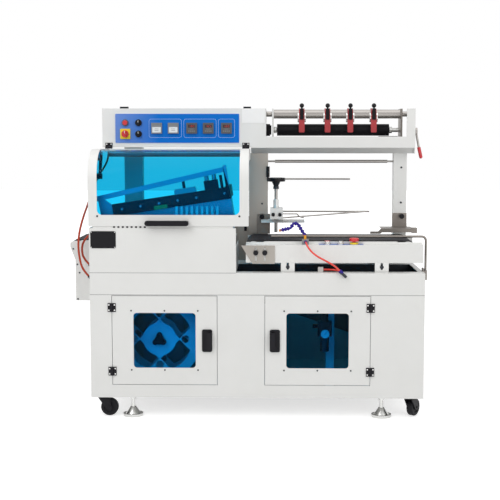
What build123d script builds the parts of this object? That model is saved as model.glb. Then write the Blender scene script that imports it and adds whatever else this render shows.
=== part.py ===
import math
import os

from build123d import *

os.makedirs("parts", exist_ok=True)

# Frame: the assembly is drawn about the cabinet's centre line and shifted to the middle of its own box.
shift_x = 27.0
shift_y = 8.0

# Clearances
run_gap = 0.05
skin_gap = 0.3
loose_gap = 2.0

# Cabinet
cab_w = 1410.0
cab_front = -400.0
cab_back = 420.0
cab_z0 = 95.0
cab_z1 = 629.0
sheet = 3.0
seam_z = 535.0
rim_depth = 60.0
half_w = cab_w / 2
wall_in = half_w - sheet
deck_z = cab_z1
channel_y0 = -40.0
channel_y1 = 140.0
channel_h = 40.0

# Doors
door_w = 443.0
door_h = 379.0
door_z = 341.5
door_left_inset = 315.0
door_left_x = door_left_inset - half_w
door_right_x = 256.0
door_pan = 20.0
door_sheet = 2.0
window_w = 263.0
window_h = 235.0
window_r = 14.0
pane_t = 4.0
pane_lap = 18.0
hinge_h = 37.0
hinge_leaf = 17.0
hinge_t = 3.0
hinge_inset_z = 57.0
knuckle_r = 5.0
pin_r = 2.0
handle_w = 43.0
handle_h = 96.0
handle_off = 20.0

# Scrap reel
reel_off = 33.0
reel_x = door_left_x - reel_off
reel_z = 326.0
reel_r = 181.0
reel_hub_r = 66.0
reel_y0 = -285.0
reel_y1 = -150.0
axle_r = 12.0

# Regulator
post_x = 318.0
post_w = 35.0
post_y0 = -230.0

# Feet and casters
foot_inset = 170.0
foot_x = half_w - foot_inset
foot_y0 = -330.0
foot_y1 = 350.0
foot_r = 43.0
caster_inset = 45.0
caster_x = half_w - caster_inset
wheel_r = 37.5
wheel_w = 28.0
wheel_lift = 1.5
caster_trail = 24.0
caster_plate_t = 5.0
kingpin_r = 6.0
caster_axle_r = 5.0
right_caster_turn = 55.0

# Apron
apron_x1 = -88.0
apron_z1 = 818.0
side_wall_z = 735.0
strip_inset = 15.0
strip_end = 12.0
strip_slot_off = 86.0
strip_x0 = strip_inset - half_w
strip_x1 = apron_x1 - strip_end
strip_slot_x = strip_x0 + strip_slot_off
strip_pitch = 18.5
outfeed_wall_z = 700.0

# Hood
hood_x0 = -707.0
hood_x1 = -35.0
hood_z0 = 826.0
hood_z1 = 1146.0
hood_r = 130.0
hood_back = -10.0
hood_t = 4.0
hood_rim = 45.0
hood_border = 37.0
hood_sill = 47.0
hood_corner_r = 22.0
hood_pane_t = 4.0
hood_axis_y = -7.0
hood_axis_z = 1153.0

# Control box
box_x0 = -705.0
box_x1 = 35.0
box_z0 = 1151.0
box_z1 = 1326.0
panel_x0 = -645.0
panel_x1 = -86.0
panel_z0 = 1172.0
panel_z1 = 1302.0
panel_t = 3.0
meter = 48.0
meter_z = 1237.5
meter_xs = (-458.0, -383.0, -300.0, -225.0, -143.0)
knob_x = -540.0
upper_z = 1262.0
lower_z = 1212.0
button_x = -600.0
bezel_r = 15.0
knob_r = 11.0
switch_plate = 46.0
switch_r = 16.0

# Columns
column_y0 = 60.0
column_y1 = 120.0
column_left_inset = 91.0
column_left_w = 82.0
column_left = (column_left_inset - half_w, column_left_inset + column_left_w - half_w)
column_mid = (-43.0, 44.0)
column_right_inset = 28.0
column_right_w = 59.0
column_right = (half_w - column_right_inset - column_right_w, half_w - column_right_inset)

# Film tray
tray_over = 1.0
tray_x1 = half_w + tray_over
tray_depth = 300.0
tray_floor_z = 1124.0
tray_bend_h = 26.0
tray_lip_h = 76.0
tray_bend_y = 60.0
end_plate_h = 202.0
tray_bend_z = tray_floor_z + tray_bend_h
tray_lip_z = tray_floor_z + tray_lip_h
end_plate_z = tray_floor_z + end_plate_h
bearing_left_off = 27.0
bearing_right_off = 48.0
bearing_x0 = box_x1 + bearing_left_off
bearing_x1 = tray_x1 - bearing_right_off
bearing_t = 8.0
roller_y = 150.0
roller_rise = 107.0
roller_z = tray_floor_z + roller_rise
roller_r = 27.0
roller_shaft_r = 10.0
roller_left_off = 23.0
roller_right_off = 56.0
roller_x0 = bearing_x0 + roller_left_off
roller_x1 = bearing_x1 - roller_right_off
tube_y = 120.0
tube_rise = 179.0
tube_z = tray_floor_z + tube_rise
tube_r = 20.5
perforator_shares = (0.2282, 0.4262, 0.6007, 0.7802)
perforator_xs = [bearing_x0 + share * (bearing_x1 - bearing_x0) for share in perforator_shares]
yoke_w = 26.0
yoke_t = 6.0
yoke_cheek = 5.0
yoke_back = 18.0
yoke_drop = 84.0
arm_w = 17.0
arm_t = 12.0
ball_r = 10.5
cheek_w = 6.0
cheek_r = 23.0
disc_y = 103.0
disc_drop = 47.0
disc_z = tube_z - disc_drop
disc_r = 19.0
lever_y = 60.0
lever_rise = 100.0
lever_z = tray_floor_z + lever_rise
lever_pin_r = 8.0

# Film bars
bar_z = 1087.0
bar_y = 90.0
guide_rod_z = 1006.0

# Belts and conveyors
belt_top = 760.0
belt_t = 3.0
infeed_x0 = -47.0
infeed_end_gap = 5.0
infeed_x1 = half_w - infeed_end_gap
infeed_front = -370.0
infeed_rear = 0.0
infeed_z0 = 670.0
ledge_z = 746.0
ledge_back = -327.0
belt_y0 = -322.0
belt_y1 = -8.0
nose_x = -15.0
tail_inset = 60.0
tail_x = infeed_x1 - tail_inset
belt_r = 35.0
roller_axle_r = 10.0
support_xs = (130.0, 526.0)
support_w = 58.0
support_t = 6.0
support_lap = 45.0
slot_w = 10.0
nose_t = 4.0
nose_knob_xs = (-5.0, 33.0)
nose_knob_z = 713.0
outfeed_out = 90.0
outfeed_x0 = -half_w - outfeed_out
outfeed_x1 = -140.0
outfeed_front = -299.0
outfeed_rear = -4.0
outfeed_r = 20.0
housing_out = 77.0
housing_x0 = -half_w - housing_out
housing_z0 = 496.0
housing_top = outfeed_wall_z + 6
outfeed_foot_inset = 85.0
outfeed_foot_x = -260.0

# Jaws
jaw_pivot_inset = 65.0
jaw_pivot_x = jaw_pivot_inset - half_w
jaw_pivot_z = 800.0
jaw_rise = 8.7
seal_z = 764.0
jaw_y0 = -335.0
jaw_y1 = -300.0
beam_z0 = 857.0
beam_z1 = 908.0
jaw_arm = 40.0
jaw_x0 = jaw_pivot_x + jaw_arm
jaw_x1 = -95.0
cross_x0 = -120.0
cross_y1 = -20.0
jaw_pin_r = 12.0

# Folding plate
fold_y = -60.0
fold_z = 790.5
fold_low_z = 766.0

# Forming carriage and handwheel
screw_x = 81.0
screw_y = 25.0
screw_r = 8.0
arm_z0 = 812.0
arm_z1 = 823.0
block_z0 = 831.0
block_z1 = 880.0
wheel_z = 1008.0
former_z = 861.0
former_low_z = 837.0
hand_r = 42.0

# Push buttons on the infeed ledge
ledge_button_xs = (297.0, 353.0)
estop_x = 410.0
ledge_button_y = -348.0
ledge_button_r = 12.0
estop_r = 20.0
collar_r = 15.0
collar_h = 8.5
ring_h = 5.0
button_stem_r = 6.0
estop_h = 14.0
estop_travel = 5.0
run_travel = 3.5
press_gap = 0.5


def block(x0, x1, y0, y1, z0, z1):
    return Pos((x0 + x1) / 2, (y0 + y1) / 2, (z0 + z1) / 2) * Box(x1 - x0, y1 - y0, z1 - z0)


def rod_x(x0, x1, y, z, r):
    return Pos((x0 + x1) / 2, y, z) * Rot(0, 90, 0) * Cylinder(r, x1 - x0)


def rod_y(x, y0, y1, z, r):
    return Pos(x, (y0 + y1) / 2, z) * Rot(90, 0, 0) * Cylinder(r, y1 - y0)


def rod_z(x, y, z0, z1, r):
    return Pos(x, y, (z0 + z1) / 2) * Cylinder(r, z1 - z0)


def xz_plane(x, y, z):
    return Plane(origin=(x, y, z), x_dir=(1, 0, 0), z_dir=(0, -1, 0))


def plate_xz(points, y0, y1):
    face = make_face(Polyline(*points, close=True))
    return extrude(xz_plane(0, y1, 0) * face, y1 - y0)


def plate_yz(points, x0, x1):
    face = make_face(Polyline(*points, close=True))
    plane = Plane(origin=(x0, 0, 0), x_dir=(0, 1, 0), z_dir=(1, 0, 0))
    return extrude(plane * face, x1 - x0)


def rounded_slot(x0, x1, y0, y1, z0, z1, r):
    face = Rectangle(x1 - x0, z1 - z0)
    face = fillet(face.vertices(), r)
    return extrude(xz_plane((x0 + x1) / 2, y1, (z0 + z1) / 2) * face, y1 - y0)


def save(name, shape):
    parts = shape if isinstance(shape, list) else [shape]
    placed = [Pos(shift_x, shift_y, 0) * s for p in parts for s in p.solids()]
    whole = placed[0] if len(placed) == 1 else Compound(children=placed)
    export_step(whole, f"parts/{name}.step")
    print(name, len(placed), "solid(s)")


def cabinet_carcass():
    inner_front = cab_front + sheet
    body = block(-half_w, half_w, inner_front, cab_back, cab_z0, cab_z1)
    body -= block(-wall_in, wall_in, inner_front, cab_back - sheet, cab_z0 + sheet, cab_z1)
    body += block(-wall_in, apron_x1, inner_front, cab_back - sheet, deck_z - sheet, deck_z)
    body += block(apron_x1, wall_in, inner_front, inner_front + rim_depth, deck_z - sheet, deck_z)
    body += block(apron_x1, wall_in, cab_back - sheet - rim_depth, cab_back - sheet, deck_z - sheet, deck_z)
    body += block(wall_in - 20, wall_in, inner_front, cab_back - sheet, deck_z - sheet, deck_z)
    channel = block(-wall_in, wall_in, channel_y0, channel_y1, deck_z - channel_h, deck_z)
    channel -= block(-wall_in, wall_in, channel_y0 + sheet, channel_y1 - sheet, deck_z - channel_h, deck_z - sheet)
    body += channel
    # bracket and stub axle of the scrap reel
    body += block(reel_x - 90, reel_x + 90, -100, -92, cab_z0 + sheet, reel_z + 90)
    body += rod_y(reel_x, reel_y0 + 5, -95, reel_z, axle_r)
    # post that carries the regulator
    body += block(post_x - post_w / 2, post_x + post_w / 2, post_y0, post_y0 + post_w, cab_z0 + sheet, 560)
    # plates over the casters, bored for their kingpins
    for x in (-caster_x, caster_x):
        for y in (foot_y0, foot_y1):
            body += block(x - 38, x + 38, y - 38, y + 38, cab_z0 - caster_plate_t, cab_z0)
    for x in (-caster_x, caster_x):
        body -= rod_z(x, foot_y0, cab_z0 - caster_plate_t, cab_z0 + sheet, kingpin_r + run_gap)
    # angled tail for the outer side hose
    body += hose_tail(-372, 604, 1)
    # cable hole in the back wall
    body -= rod_y(500, cab_back - sheet, cab_back, 200, 25)
    return body


def hose_tail(y, z, slope):
    d = math.sqrt(0.5)
    tail = link((-wall_in, y, z - slope * sheet), (-half_w - 12 * d, y, z + slope * 12 * d), 6.5)
    return tail - block(-wall_in, 0, y - 20, y + 20, z - 30, z + 30)


def front_frame():
    plate = block(-half_w, half_w, cab_front, cab_front + sheet, cab_z0, cab_z1)
    for x in (door_left_x, door_right_x):
        w = door_w / 2 + loose_gap
        h = door_h / 2 + loose_gap
        plate -= block(x - w, x + w, cab_front, cab_front + sheet, door_z - h, door_z + h)
    plate -= block(-half_w, half_w, cab_front, cab_front + 1.2, seam_z, seam_z + 2)
    return plate


def door_pan_solid(x):
    w = door_w / 2
    h = door_h / 2
    back = cab_front + door_pan
    pan = block(x - w, x + w, cab_front, back, door_z - h, door_z + h)
    pan -= block(
        x - w + door_sheet, x + w - door_sheet, cab_front + door_sheet, back,
        door_z - h + door_sheet, door_z + h - door_sheet,
    )
    pan -= rounded_slot(
        x - window_w / 2, x + window_w / 2, cab_front, cab_front + door_sheet,
        door_z - window_h / 2, door_z + window_h / 2, window_r,
    )
    return pan


def door_pane(x):
    w = window_w / 2 + pane_lap
    h = window_h / 2 + pane_lap
    y0 = cab_front + door_sheet
    return rounded_slot(x - w, x + w, y0, y0 + pane_t, door_z - h, door_z + h, 8)


def hinge_axis_x(x, side):
    return x + side * (door_w / 2 + loose_gap / 2)


def hinge_zs():
    return (door_z - door_h / 2 + hinge_inset_z, door_z + door_h / 2 - hinge_inset_z + 8)


def knuckle(ax, z0, z1):
    return rod_z(ax, cab_front - knuckle_r, z0, z1, knuckle_r)


def fixed_leaves():
    leaves = []
    for x, side in ((door_left_x, -1), (door_right_x, 1)):
        ax = hinge_axis_x(x, side)
        outer = ax + side * hinge_leaf
        for z in hinge_zs():
            inner = ax + side * 1.2
            x0, x1 = min(inner, outer), max(inner, outer)
            leaf = block(x0, x1, cab_front - hinge_t, cab_front, z - hinge_h / 2, z + hinge_h / 2)
            third = hinge_h / 6
            clear = rod_z(ax, cab_front - knuckle_r, z - hinge_h / 2, z + hinge_h / 2, knuckle_r + skin_gap)
            leaf -= clear
            leaf += knuckle(ax, z - third, z + third)
            x2, x3 = min(ax, outer), max(ax, outer)
            leaf += block(x2, x3, cab_front - hinge_t, cab_front, z - third, z + third)
            leaf += rod_z(ax, cab_front - knuckle_r, z - hinge_h / 2, z + hinge_h / 2, pin_r)
            leaves.append(leaf)
    return leaves


def door_fittings(x, side):
    ax = hinge_axis_x(x, side)
    outer = ax - side * hinge_leaf
    pieces = []
    for z in hinge_zs():
        inner = ax - side * 1.2
        x0, x1 = min(inner, outer), max(inner, outer)
        leaf = block(x0, x1, cab_front - hinge_t, cab_front, z - hinge_h / 2, z + hinge_h / 2)
        third = hinge_h / 6 + skin_gap
        x2, x3 = min(ax, outer), max(ax, outer)
        for a, b in ((z - hinge_h / 2, z - third), (z + third, z + hinge_h / 2)):
            leaf += knuckle(ax, a, b)
            leaf += block(x2, x3, cab_front - hinge_t, cab_front, a, b)
        leaf -= rod_z(ax, cab_front - knuckle_r, z - third, z + third, knuckle_r + skin_gap)
        leaf -= rod_z(ax, cab_front - knuckle_r, z - hinge_h / 2, z + hinge_h / 2, pin_r + run_gap)
        pieces.append(leaf)
    hx = x - side * (door_w / 2 - handle_off - handle_w / 2)
    cup = rounded_slot(
        hx - handle_w / 2, hx + handle_w / 2, cab_front - 5, cab_front,
        door_z - handle_h / 2, door_z + handle_h / 2, 8,
    )
    bar_x0, bar_x1 = sorted((hx + side * 1, hx - side * (handle_w / 2 - 3)))
    cup -= rounded_slot(
        hx - handle_w / 2 + 6, hx + handle_w / 2 - 6, cab_front - 5, cab_front - 2,
        door_z - handle_h / 2 + 8, door_z + handle_h / 2 - 8, 5,
    )
    cup += block(bar_x0, bar_x1, cab_front - 22, cab_front - 18, door_z - 36, door_z + 36)
    edge = bar_x1 - 4 if side < 0 else bar_x0
    cup += block(edge, edge + 4, cab_front - 22, cab_front - 2, door_z - 36, door_z + 36)
    pieces.append(cup)
    return pieces


def reel_disc(y0, y1):
    disc = rod_y(reel_x, y0, y1, reel_z, reel_r)
    for k in range(4):
        ring = rod_y(reel_x, y0, y1, reel_z, 142) - rod_y(reel_x, y0, y1, reel_z, reel_hub_r + 6)
        wedge = Pos(reel_x, 0, reel_z) * Rot(0, -(45 + 90 * k), 0) * Pos(105, 0, 0) * Box(84, 900, 118)
        disc -= ring & wedge
        b = math.radians(90 * k)
        disc -= rod_y(reel_x + 112 * math.cos(b), y0, y1, reel_z + 112 * math.sin(b), 17)
    return disc


def scrap_reel():
    reel = reel_disc(reel_y0, reel_y0 + 8) + reel_disc(reel_y1 - 6, reel_y1)
    reel += rod_y(reel_x, reel_y0, reel_y1, reel_z, 40)
    reel += rod_y(reel_x, reel_y0 - 24, reel_y0, reel_z, 20)
    for k in range(3):
        a = math.radians(90 + 120 * k)
        reel += rod_y(reel_x + 20 * math.cos(a), reel_y0 - 24, reel_y0 - 6, reel_z + 20 * math.sin(a), 12)
    reel -= rod_y(reel_x, reel_y0 + 4, reel_y1, reel_z, axle_r + run_gap)
    return reel


def air_regulator():
    y1 = post_y0
    body = block(post_x - 55, post_x + 5, y1 - 46, y1, 338, 402)
    body += rod_z(post_x - 25, y1 - 23, 402, 440, 16)
    body += rod_z(post_x - 25, y1 - 23, 270, 338, 19)
    body += rod_y(post_x - 25, y1 - 62, y1 - 46, 352, 21)
    body += rod_x(post_x - 78, post_x - 55, y1 - 23, 380, 9)
    return body


def levelling_foot(x, y):
    foot = rod_z(x, y, 0, 12, foot_r)
    foot += Pos(x, y, 26) * Cone(32, 13, 28)
    foot += rod_z(x, y, 38, cab_z0, 8)
    foot += extrude(Pos(x, y, 74) * RegularPolygon(14, 6), 11)
    return foot


def levelling_feet():
    return [levelling_foot(x, y) for x in (-foot_x, foot_x) for y in (foot_y0, foot_y1)]


def fork(pinned):
    top = cab_z0 - caster_plate_t
    gap = skin_gap if pinned else 0.0
    z = wheel_r + wheel_lift
    crown = rod_z(0, 0, top - 8, top - gap, 30)
    half = wheel_w / 2 + loose_gap
    for s in (-1, 1):
        y0, y1 = sorted((s * half, s * (half + 4)))
        cheek = plate_xz([(-26, top - 4), (26, top - 4), (caster_trail + 11, z - 9), (caster_trail - 13, z - 9)], y0, y1)
        cheek += rod_y(caster_trail, y0, y1, z, 12)
        crown += cheek
    crown += rod_y(caster_trail, -half - 7, half + 7, z, caster_axle_r)
    if pinned:
        crown += rod_z(0, 0, top - 4, cab_z0 + sheet - 1, kingpin_r)
    return crown


def wheel():
    z = wheel_r + wheel_lift
    tyre = rod_y(caster_trail, -wheel_w / 2, wheel_w / 2, z, wheel_r)
    tyre = fillet(tyre.edges().filter_by(GeomType.CIRCLE), 5)
    for s in (-1, 1):
        y0, y1 = sorted((s * (wheel_w / 2 - 4), s * wheel_w / 2))
        tyre -= rod_y(caster_trail, y0, y1, z, 24) - rod_y(caster_trail, y0, y1, z, 11)
    return tyre - rod_y(caster_trail, -wheel_w, wheel_w, z, caster_axle_r + run_gap)


def caster_place(x, y, turn):
    return Pos(x, y, 0) * Rot(0, 0, turn)


def apron_panel():
    panel = block(-half_w, apron_x1, cab_front, cab_front + sheet, cab_z1, apron_z1)
    panel += block(apron_x1 - sheet, apron_x1, cab_front + sheet, -60, deck_z, side_wall_z)
    panel += block(-half_w, -wall_in, cab_front + sheet, channel_y1, deck_z, outfeed_wall_z)
    panel += block(-half_w, -wall_in, cab_front + sheet, outfeed_front - 6, outfeed_wall_z, apron_z1)
    # slotted guard strip behind the gap under the hood
    strip_y = cab_front + hood_t + skin_gap
    panel += block(strip_x0, strip_x1, cab_front + 1, strip_y + 2, apron_z1 - 24, apron_z1 - 2)
    strip = block(strip_x0, strip_x1, strip_y, strip_y + 2.4, apron_z1 - 6, apron_z1 + 14)
    for k in range(8):
        x = strip_slot_x + strip_pitch * k
        strip -= block(x, x + 9, strip_y, strip_y + 2.4, apron_z1 + 0.5, apron_z1 + 8)
    panel += strip
    panel += hose_tail(-348, 792, -1)
    panel += hose_tail(-348, 650, 1)
    return panel


def hood_profile(inset, y_end):
    front = cab_front + inset
    top = hood_z1 - inset
    r = hood_r - inset
    return front, top, r, y_end


def hood_section(inset, thick, z_low, y_end):
    f0, t0, r0, _ = hood_profile(inset, y_end)
    f1, t1, r1, _ = hood_profile(inset + thick, y_end)
    with BuildSketch(Plane.YZ) as sk:
        with BuildLine():
            Line((f0, z_low), (f0, t0 - r0))
            RadiusArc((f0, t0 - r0), (f0 + r0, t0), r0)
            Line((f0 + r0, t0), (y_end, t0))
            Line((y_end, t0), (y_end, t1))
            Line((y_end, t1), (f1 + r1, t1))
            RadiusArc((f1 + r1, t1), (f1, t1 - r1), -r1)
            Line((f1, t1 - r1), (f1, z_low))
            Line((f1, z_low), (f0, z_low))
        make_face()
    return sk.sketch


def hood_frame():
    skin = extrude(Pos(hood_x0, 0, 0) * hood_section(0, hood_t, hood_z0, hood_back), hood_x1 - hood_x0)
    sill_z = hood_z0 + hood_sill
    x0 = hood_x0 + hood_border
    x1 = hood_x1 - hood_border
    opening = hood_section(-1, hood_t + 2, sill_z + 2 * hood_corner_r, hood_back - 28)
    skin -= extrude(Pos(x0, 0, 0) * opening, x1 - x0)
    skin -= rounded_slot(
        x0, x1, cab_front - 1, cab_front + hood_t + 1, sill_z, sill_z + 4 * hood_corner_r, hood_corner_r,
    )
    rim = hood_section(hood_t - 0.5, hood_rim, hood_z0, hood_back)
    for x in (hood_x0, hood_x1 - hood_t):
        skin += extrude(Pos(x, 0, 0) * rim, hood_t)
    # moving halves of the top hinges
    for x in (-675.0, -56.0):
        skin += block(x - 16, x + 16, hood_axis_y - 5, hood_back, hood_z1 - hood_t, hood_axis_z)
        skin += rod_x(x - 16, x - 6, hood_axis_y, hood_axis_z, 4)
        skin += rod_x(x + 6, x + 16, hood_axis_y, hood_axis_z, 4)
        skin -= rod_x(x - 6.3, x + 6.3, hood_axis_y, hood_axis_z, 5)
        skin -= rod_x(x - 17, x + 17, hood_axis_y, hood_axis_z, 2 + run_gap)
    # stay arm carried on the left rim
    stay = Pos(hood_x0 + 20, -180, 1070) * Rot(-24, 0, 0) * Box(12, 12, 110)
    skin += stay
    skin += rod_x(hood_x0 + hood_t, hood_x0 + 30, -198, 1028, 12)
    skin += block(hood_x0 + hood_t, hood_x0 + 20, -172, -148, 1096, hood_z1 - hood_t)
    skin += block(hood_x0 + hood_t, hood_x0 + 14, -384, -180, 1014, 1040)
    return skin


def hood_window():
    section = hood_section(hood_t + skin_gap, hood_pane_t, hood_z0 + hood_sill - 16, hood_back - 14)
    x0 = hood_x0 + hood_border - 16
    x1 = hood_x1 - hood_border + 16
    pane = extrude(Pos(x0, 0, 0) * section, x1 - x0)
    return pane


def hood_handle():
    y0 = cab_front - 36
    bar = block(-467, -284, y0, y0 + 16, 829, 851)
    bar = fillet(bar.edges().filter_by(Axis.X), 6)
    for x in (-456, -295):
        bar += block(x - 9, x + 9, y0 + 12, cab_front, 831, 849)
    return bar


def control_box():
    box = block(box_x0, box_x1, 0, cab_back, box_z0, box_z1)
    box -= block(box_x0 + sheet, box_x1 - sheet, sheet, cab_back - sheet, box_z0 + sheet, box_z1 - sheet)
    box -= block(-400, -300, cab_back - sheet, cab_back, box_z0 + 30, box_z0 + 70)
    for x0, x1 in ((-624, -587), (-67, -33)):
        box += block(x0, x1, 0, 24, box_z1, box_z1 + 8)
    # fixed halves of the hood hinges
    for x in (-675.0, -56.0):
        box += block(x - 16, x + 16, -3, 0, hood_axis_z - 1, hood_axis_z + 19)
        box += rod_x(x - 6, x + 6, hood_axis_y, hood_axis_z, 4)
        box += block(x - 6, x + 6, hood_axis_y, 0, hood_axis_z - 1, hood_axis_z + 4)
        box += rod_x(x - 16, x + 16, hood_axis_y, hood_axis_z, 2)
    return box


def control_panel():
    return rounded_slot(panel_x0, panel_x1, -panel_t, 0, panel_z0, panel_z1, 4)


def bezel(x, z):
    ring = rod_y(x, -panel_t - 7, -panel_t, z, bezel_r)
    return ring - rod_y(x, -panel_t - 7, -panel_t, z, knob_r + run_gap)


def panel_fittings():
    pieces = []
    for x in meter_xs:
        body = block(x - meter / 2, x + meter / 2, -panel_t - 9, -panel_t, meter_z - meter / 2, meter_z + meter / 2)
        body -= block(
            x - meter / 2 + 4, x + meter / 2 - 4, -panel_t - 9, -panel_t - 7,
            meter_z - meter / 2 + 4, meter_z + meter / 2 - 4,
        )
        pieces.append(body)
    pieces.append(bezel(button_x, upper_z))
    pieces.append(bezel(knob_x, upper_z))
    pieces.append(bezel(knob_x, lower_z))
    half = switch_plate / 2
    plate = rounded_slot(button_x - half, button_x + half, -panel_t - 5, -panel_t, lower_z - half, lower_z + half, 4)
    plate += rod_y(button_x, -panel_t - 18, -panel_t - 5, lower_z, 6)
    pieces.append(plate)
    return pieces


def power_button():
    y1 = -panel_t - 4.5
    cap = rod_y(button_x, y1 - 9, y1, upper_z, knob_r)
    return fillet(cap.edges().group_by(Axis.Y)[0], 1.5)


def selector(z):
    y1 = -panel_t - 0.3
    knob = rod_y(knob_x, y1 - 9, y1, z, knob_r)
    knob += block(knob_x - 4, knob_x + 4, y1 - 20, y1 - 8, z - 10.5, z + 10.5)
    return knob


def main_switch():
    y1 = -panel_t - 5 - 0.3
    knob = rod_y(button_x, y1 - 9, y1, lower_z, switch_r)
    knob += block(button_x - 5, button_x + 5, y1 - 24, y1 - 8, lower_z - 15, lower_z + 15)
    return knob - rod_y(button_x, y1 - 13, y1, lower_z, 6 + run_gap)


def column(span, z1):
    x0, x1 = span
    outer = block(x0, x1, column_y0, column_y1, deck_z, z1)
    return outer - block(x0 + 4, x1 - 4, column_y0 + 4, column_y1 - 4, deck_z, z1)


def frame_columns():
    return [column(column_left, box_z0), column(column_mid, tray_floor_z), column(column_right, tray_floor_z)]


def film_tray():
    s = sheet
    points = [
        (0, tray_lip_z), (0, tray_bend_z), (tray_bend_y, tray_floor_z), (tray_depth, tray_floor_z),
        (tray_depth, tray_lip_z), (tray_depth - s, tray_lip_z), (tray_depth - s, tray_floor_z + s),
        (tray_bend_y + 0.6, tray_floor_z + s), (s, tray_bend_z + 2), (s, tray_lip_z),
    ]
    tray = plate_yz(points, box_x1, tray_x1 - s)
    # the bent lower flange runs on under the control box up to the hood
    under_z = min(box_z0 - skin_gap, tray_bend_z)
    under_y = (tray_bend_z + 2 - under_z) / (tray_bend_z + 2 - tray_floor_z - s) * (tray_bend_y - s) + s
    flange = [(0, under_z), (tray_bend_y, tray_floor_z), (tray_bend_y + 0.6, tray_floor_z + s), (under_y, under_z)]
    tray += plate_yz(flange, hood_x1 + loose_gap, box_x1 + 1)
    tray += block(tray_x1 - s, tray_x1, 0, tray_depth, tray_floor_z, end_plate_z)
    for x0 in (bearing_x0, bearing_x1 - bearing_t):
        bearing = block(x0, x0 + bearing_t, tube_y - 32, roller_y + 42, tray_floor_z + s, tube_z + 24)
        bearing -= rod_x(x0, x0 + bearing_t, roller_y, roller_z, roller_shaft_r + run_gap)
        tray += bearing
    tray -= rod_x(tray_x1 - s, tray_x1, lever_y, lever_z, lever_pin_r + run_gap)
    return tray


def film_bars():
    tube = rod_x(bearing_x0 + bearing_t, bearing_x1 - bearing_t, tube_y, tube_z, tube_r)
    bar = rod_x(column_mid[1] + 32, column_right[0] - 27, bar_y, bar_z, 7)
    bar += rod_x(column_mid[1], column_right[0], bar_y, bar_z, 4)
    rod = rod_x(column_mid[1], 421, bar_y, guide_rod_z, 3.5)
    return [tube, bar, rod]


def film_roller():
    body = rod_x(roller_x0, roller_x1, roller_y, roller_z, roller_r)
    return body + rod_x(bearing_x0 + 1, bearing_x1 - 1, roller_y, roller_z, roller_shaft_r)


def perforator(x):
    w = yoke_w / 2
    front = tube_y - tube_r - 17
    yoke = rod_x(x - w, x + w, tube_y, tube_z, tube_r + 6)
    # guard plate with two cheeks that carry the disc on its pin
    guard = block(x - w, x + w, front, front + yoke_t, tube_z - yoke_drop, tube_z - 4)
    guard = chamfer(guard.edges().filter_by(Axis.Y).group_by(Axis.Z)[0], 3)
    yoke += guard
    yoke += block(x - w, x + w, front + 1, tube_y - 6, tube_z - 24, tube_z - 6)
    for side in (-1, 1):
        inner = x + side * (w - yoke_cheek / 2)
        yoke += block(
            inner - yoke_cheek / 2, inner + yoke_cheek / 2, front + 2, front + yoke_t + yoke_back,
            disc_z - 12, tube_z - 12,
        )
        outer = x + side * (w + cheek_w / 2 - 0.5)
        yoke += rod_x(outer - cheek_w / 2, outer + cheek_w / 2, tube_y - 8, tube_z - 14, cheek_r)
    yoke += rod_x(x - w + 1, x + w - 1, disc_y, disc_z, 4)
    yoke += rod_x(x - 4, x + 4, disc_y, disc_z, disc_r - 6)
    # lever arm with its ball
    arm_y = front - 4
    arm = block(x - arm_w / 2, x + arm_w / 2, arm_y, arm_y + arm_t, tube_z - 26, tube_z + 24)
    arm = fillet(arm.edges().filter_by(Axis.Y).group_by(Axis.Z)[-1], 4)
    arm += block(x - arm_w / 2 + 1, x + arm_w / 2 - 1, arm_y + 2, tube_y - tube_r - 1, tube_z - 10, tube_z + 10)
    arm += rod_z(x, arm_y + arm_t / 2, tube_z + 22, tube_z + 34, 4)
    arm += Pos(x, arm_y + arm_t / 2, tube_z + 38) * Sphere(ball_r)
    yoke += arm
    return yoke - rod_x(x - 30, x + 30, tube_y, tube_z, tube_r + 2 * run_gap)


def lift_lever():
    boss = rod_x(tray_x1 + skin_gap, tray_x1 + 16, lever_y, lever_z, 16)
    boss += rod_x(tray_x1 - sheet - 6, tray_x1 + 4, lever_y, lever_z, lever_pin_r)
    start = (tray_x1 + 10, lever_y, lever_z)
    middle = (tray_x1 + 24, lever_y, lever_z - 72)
    end = (tray_x1 + 34, lever_y, lever_z - 116)
    boss += link(start, middle, 5)
    boss += link(middle, end, 8)
    boss += Pos(*end) * Sphere(8)
    return boss


def link(a, b, r):
    va = Vector(*a)
    vb = Vector(*b)
    run = vb - va
    plane = Plane(origin=va, z_dir=run)
    return extrude(plane * Circle(r), run.length)


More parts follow.
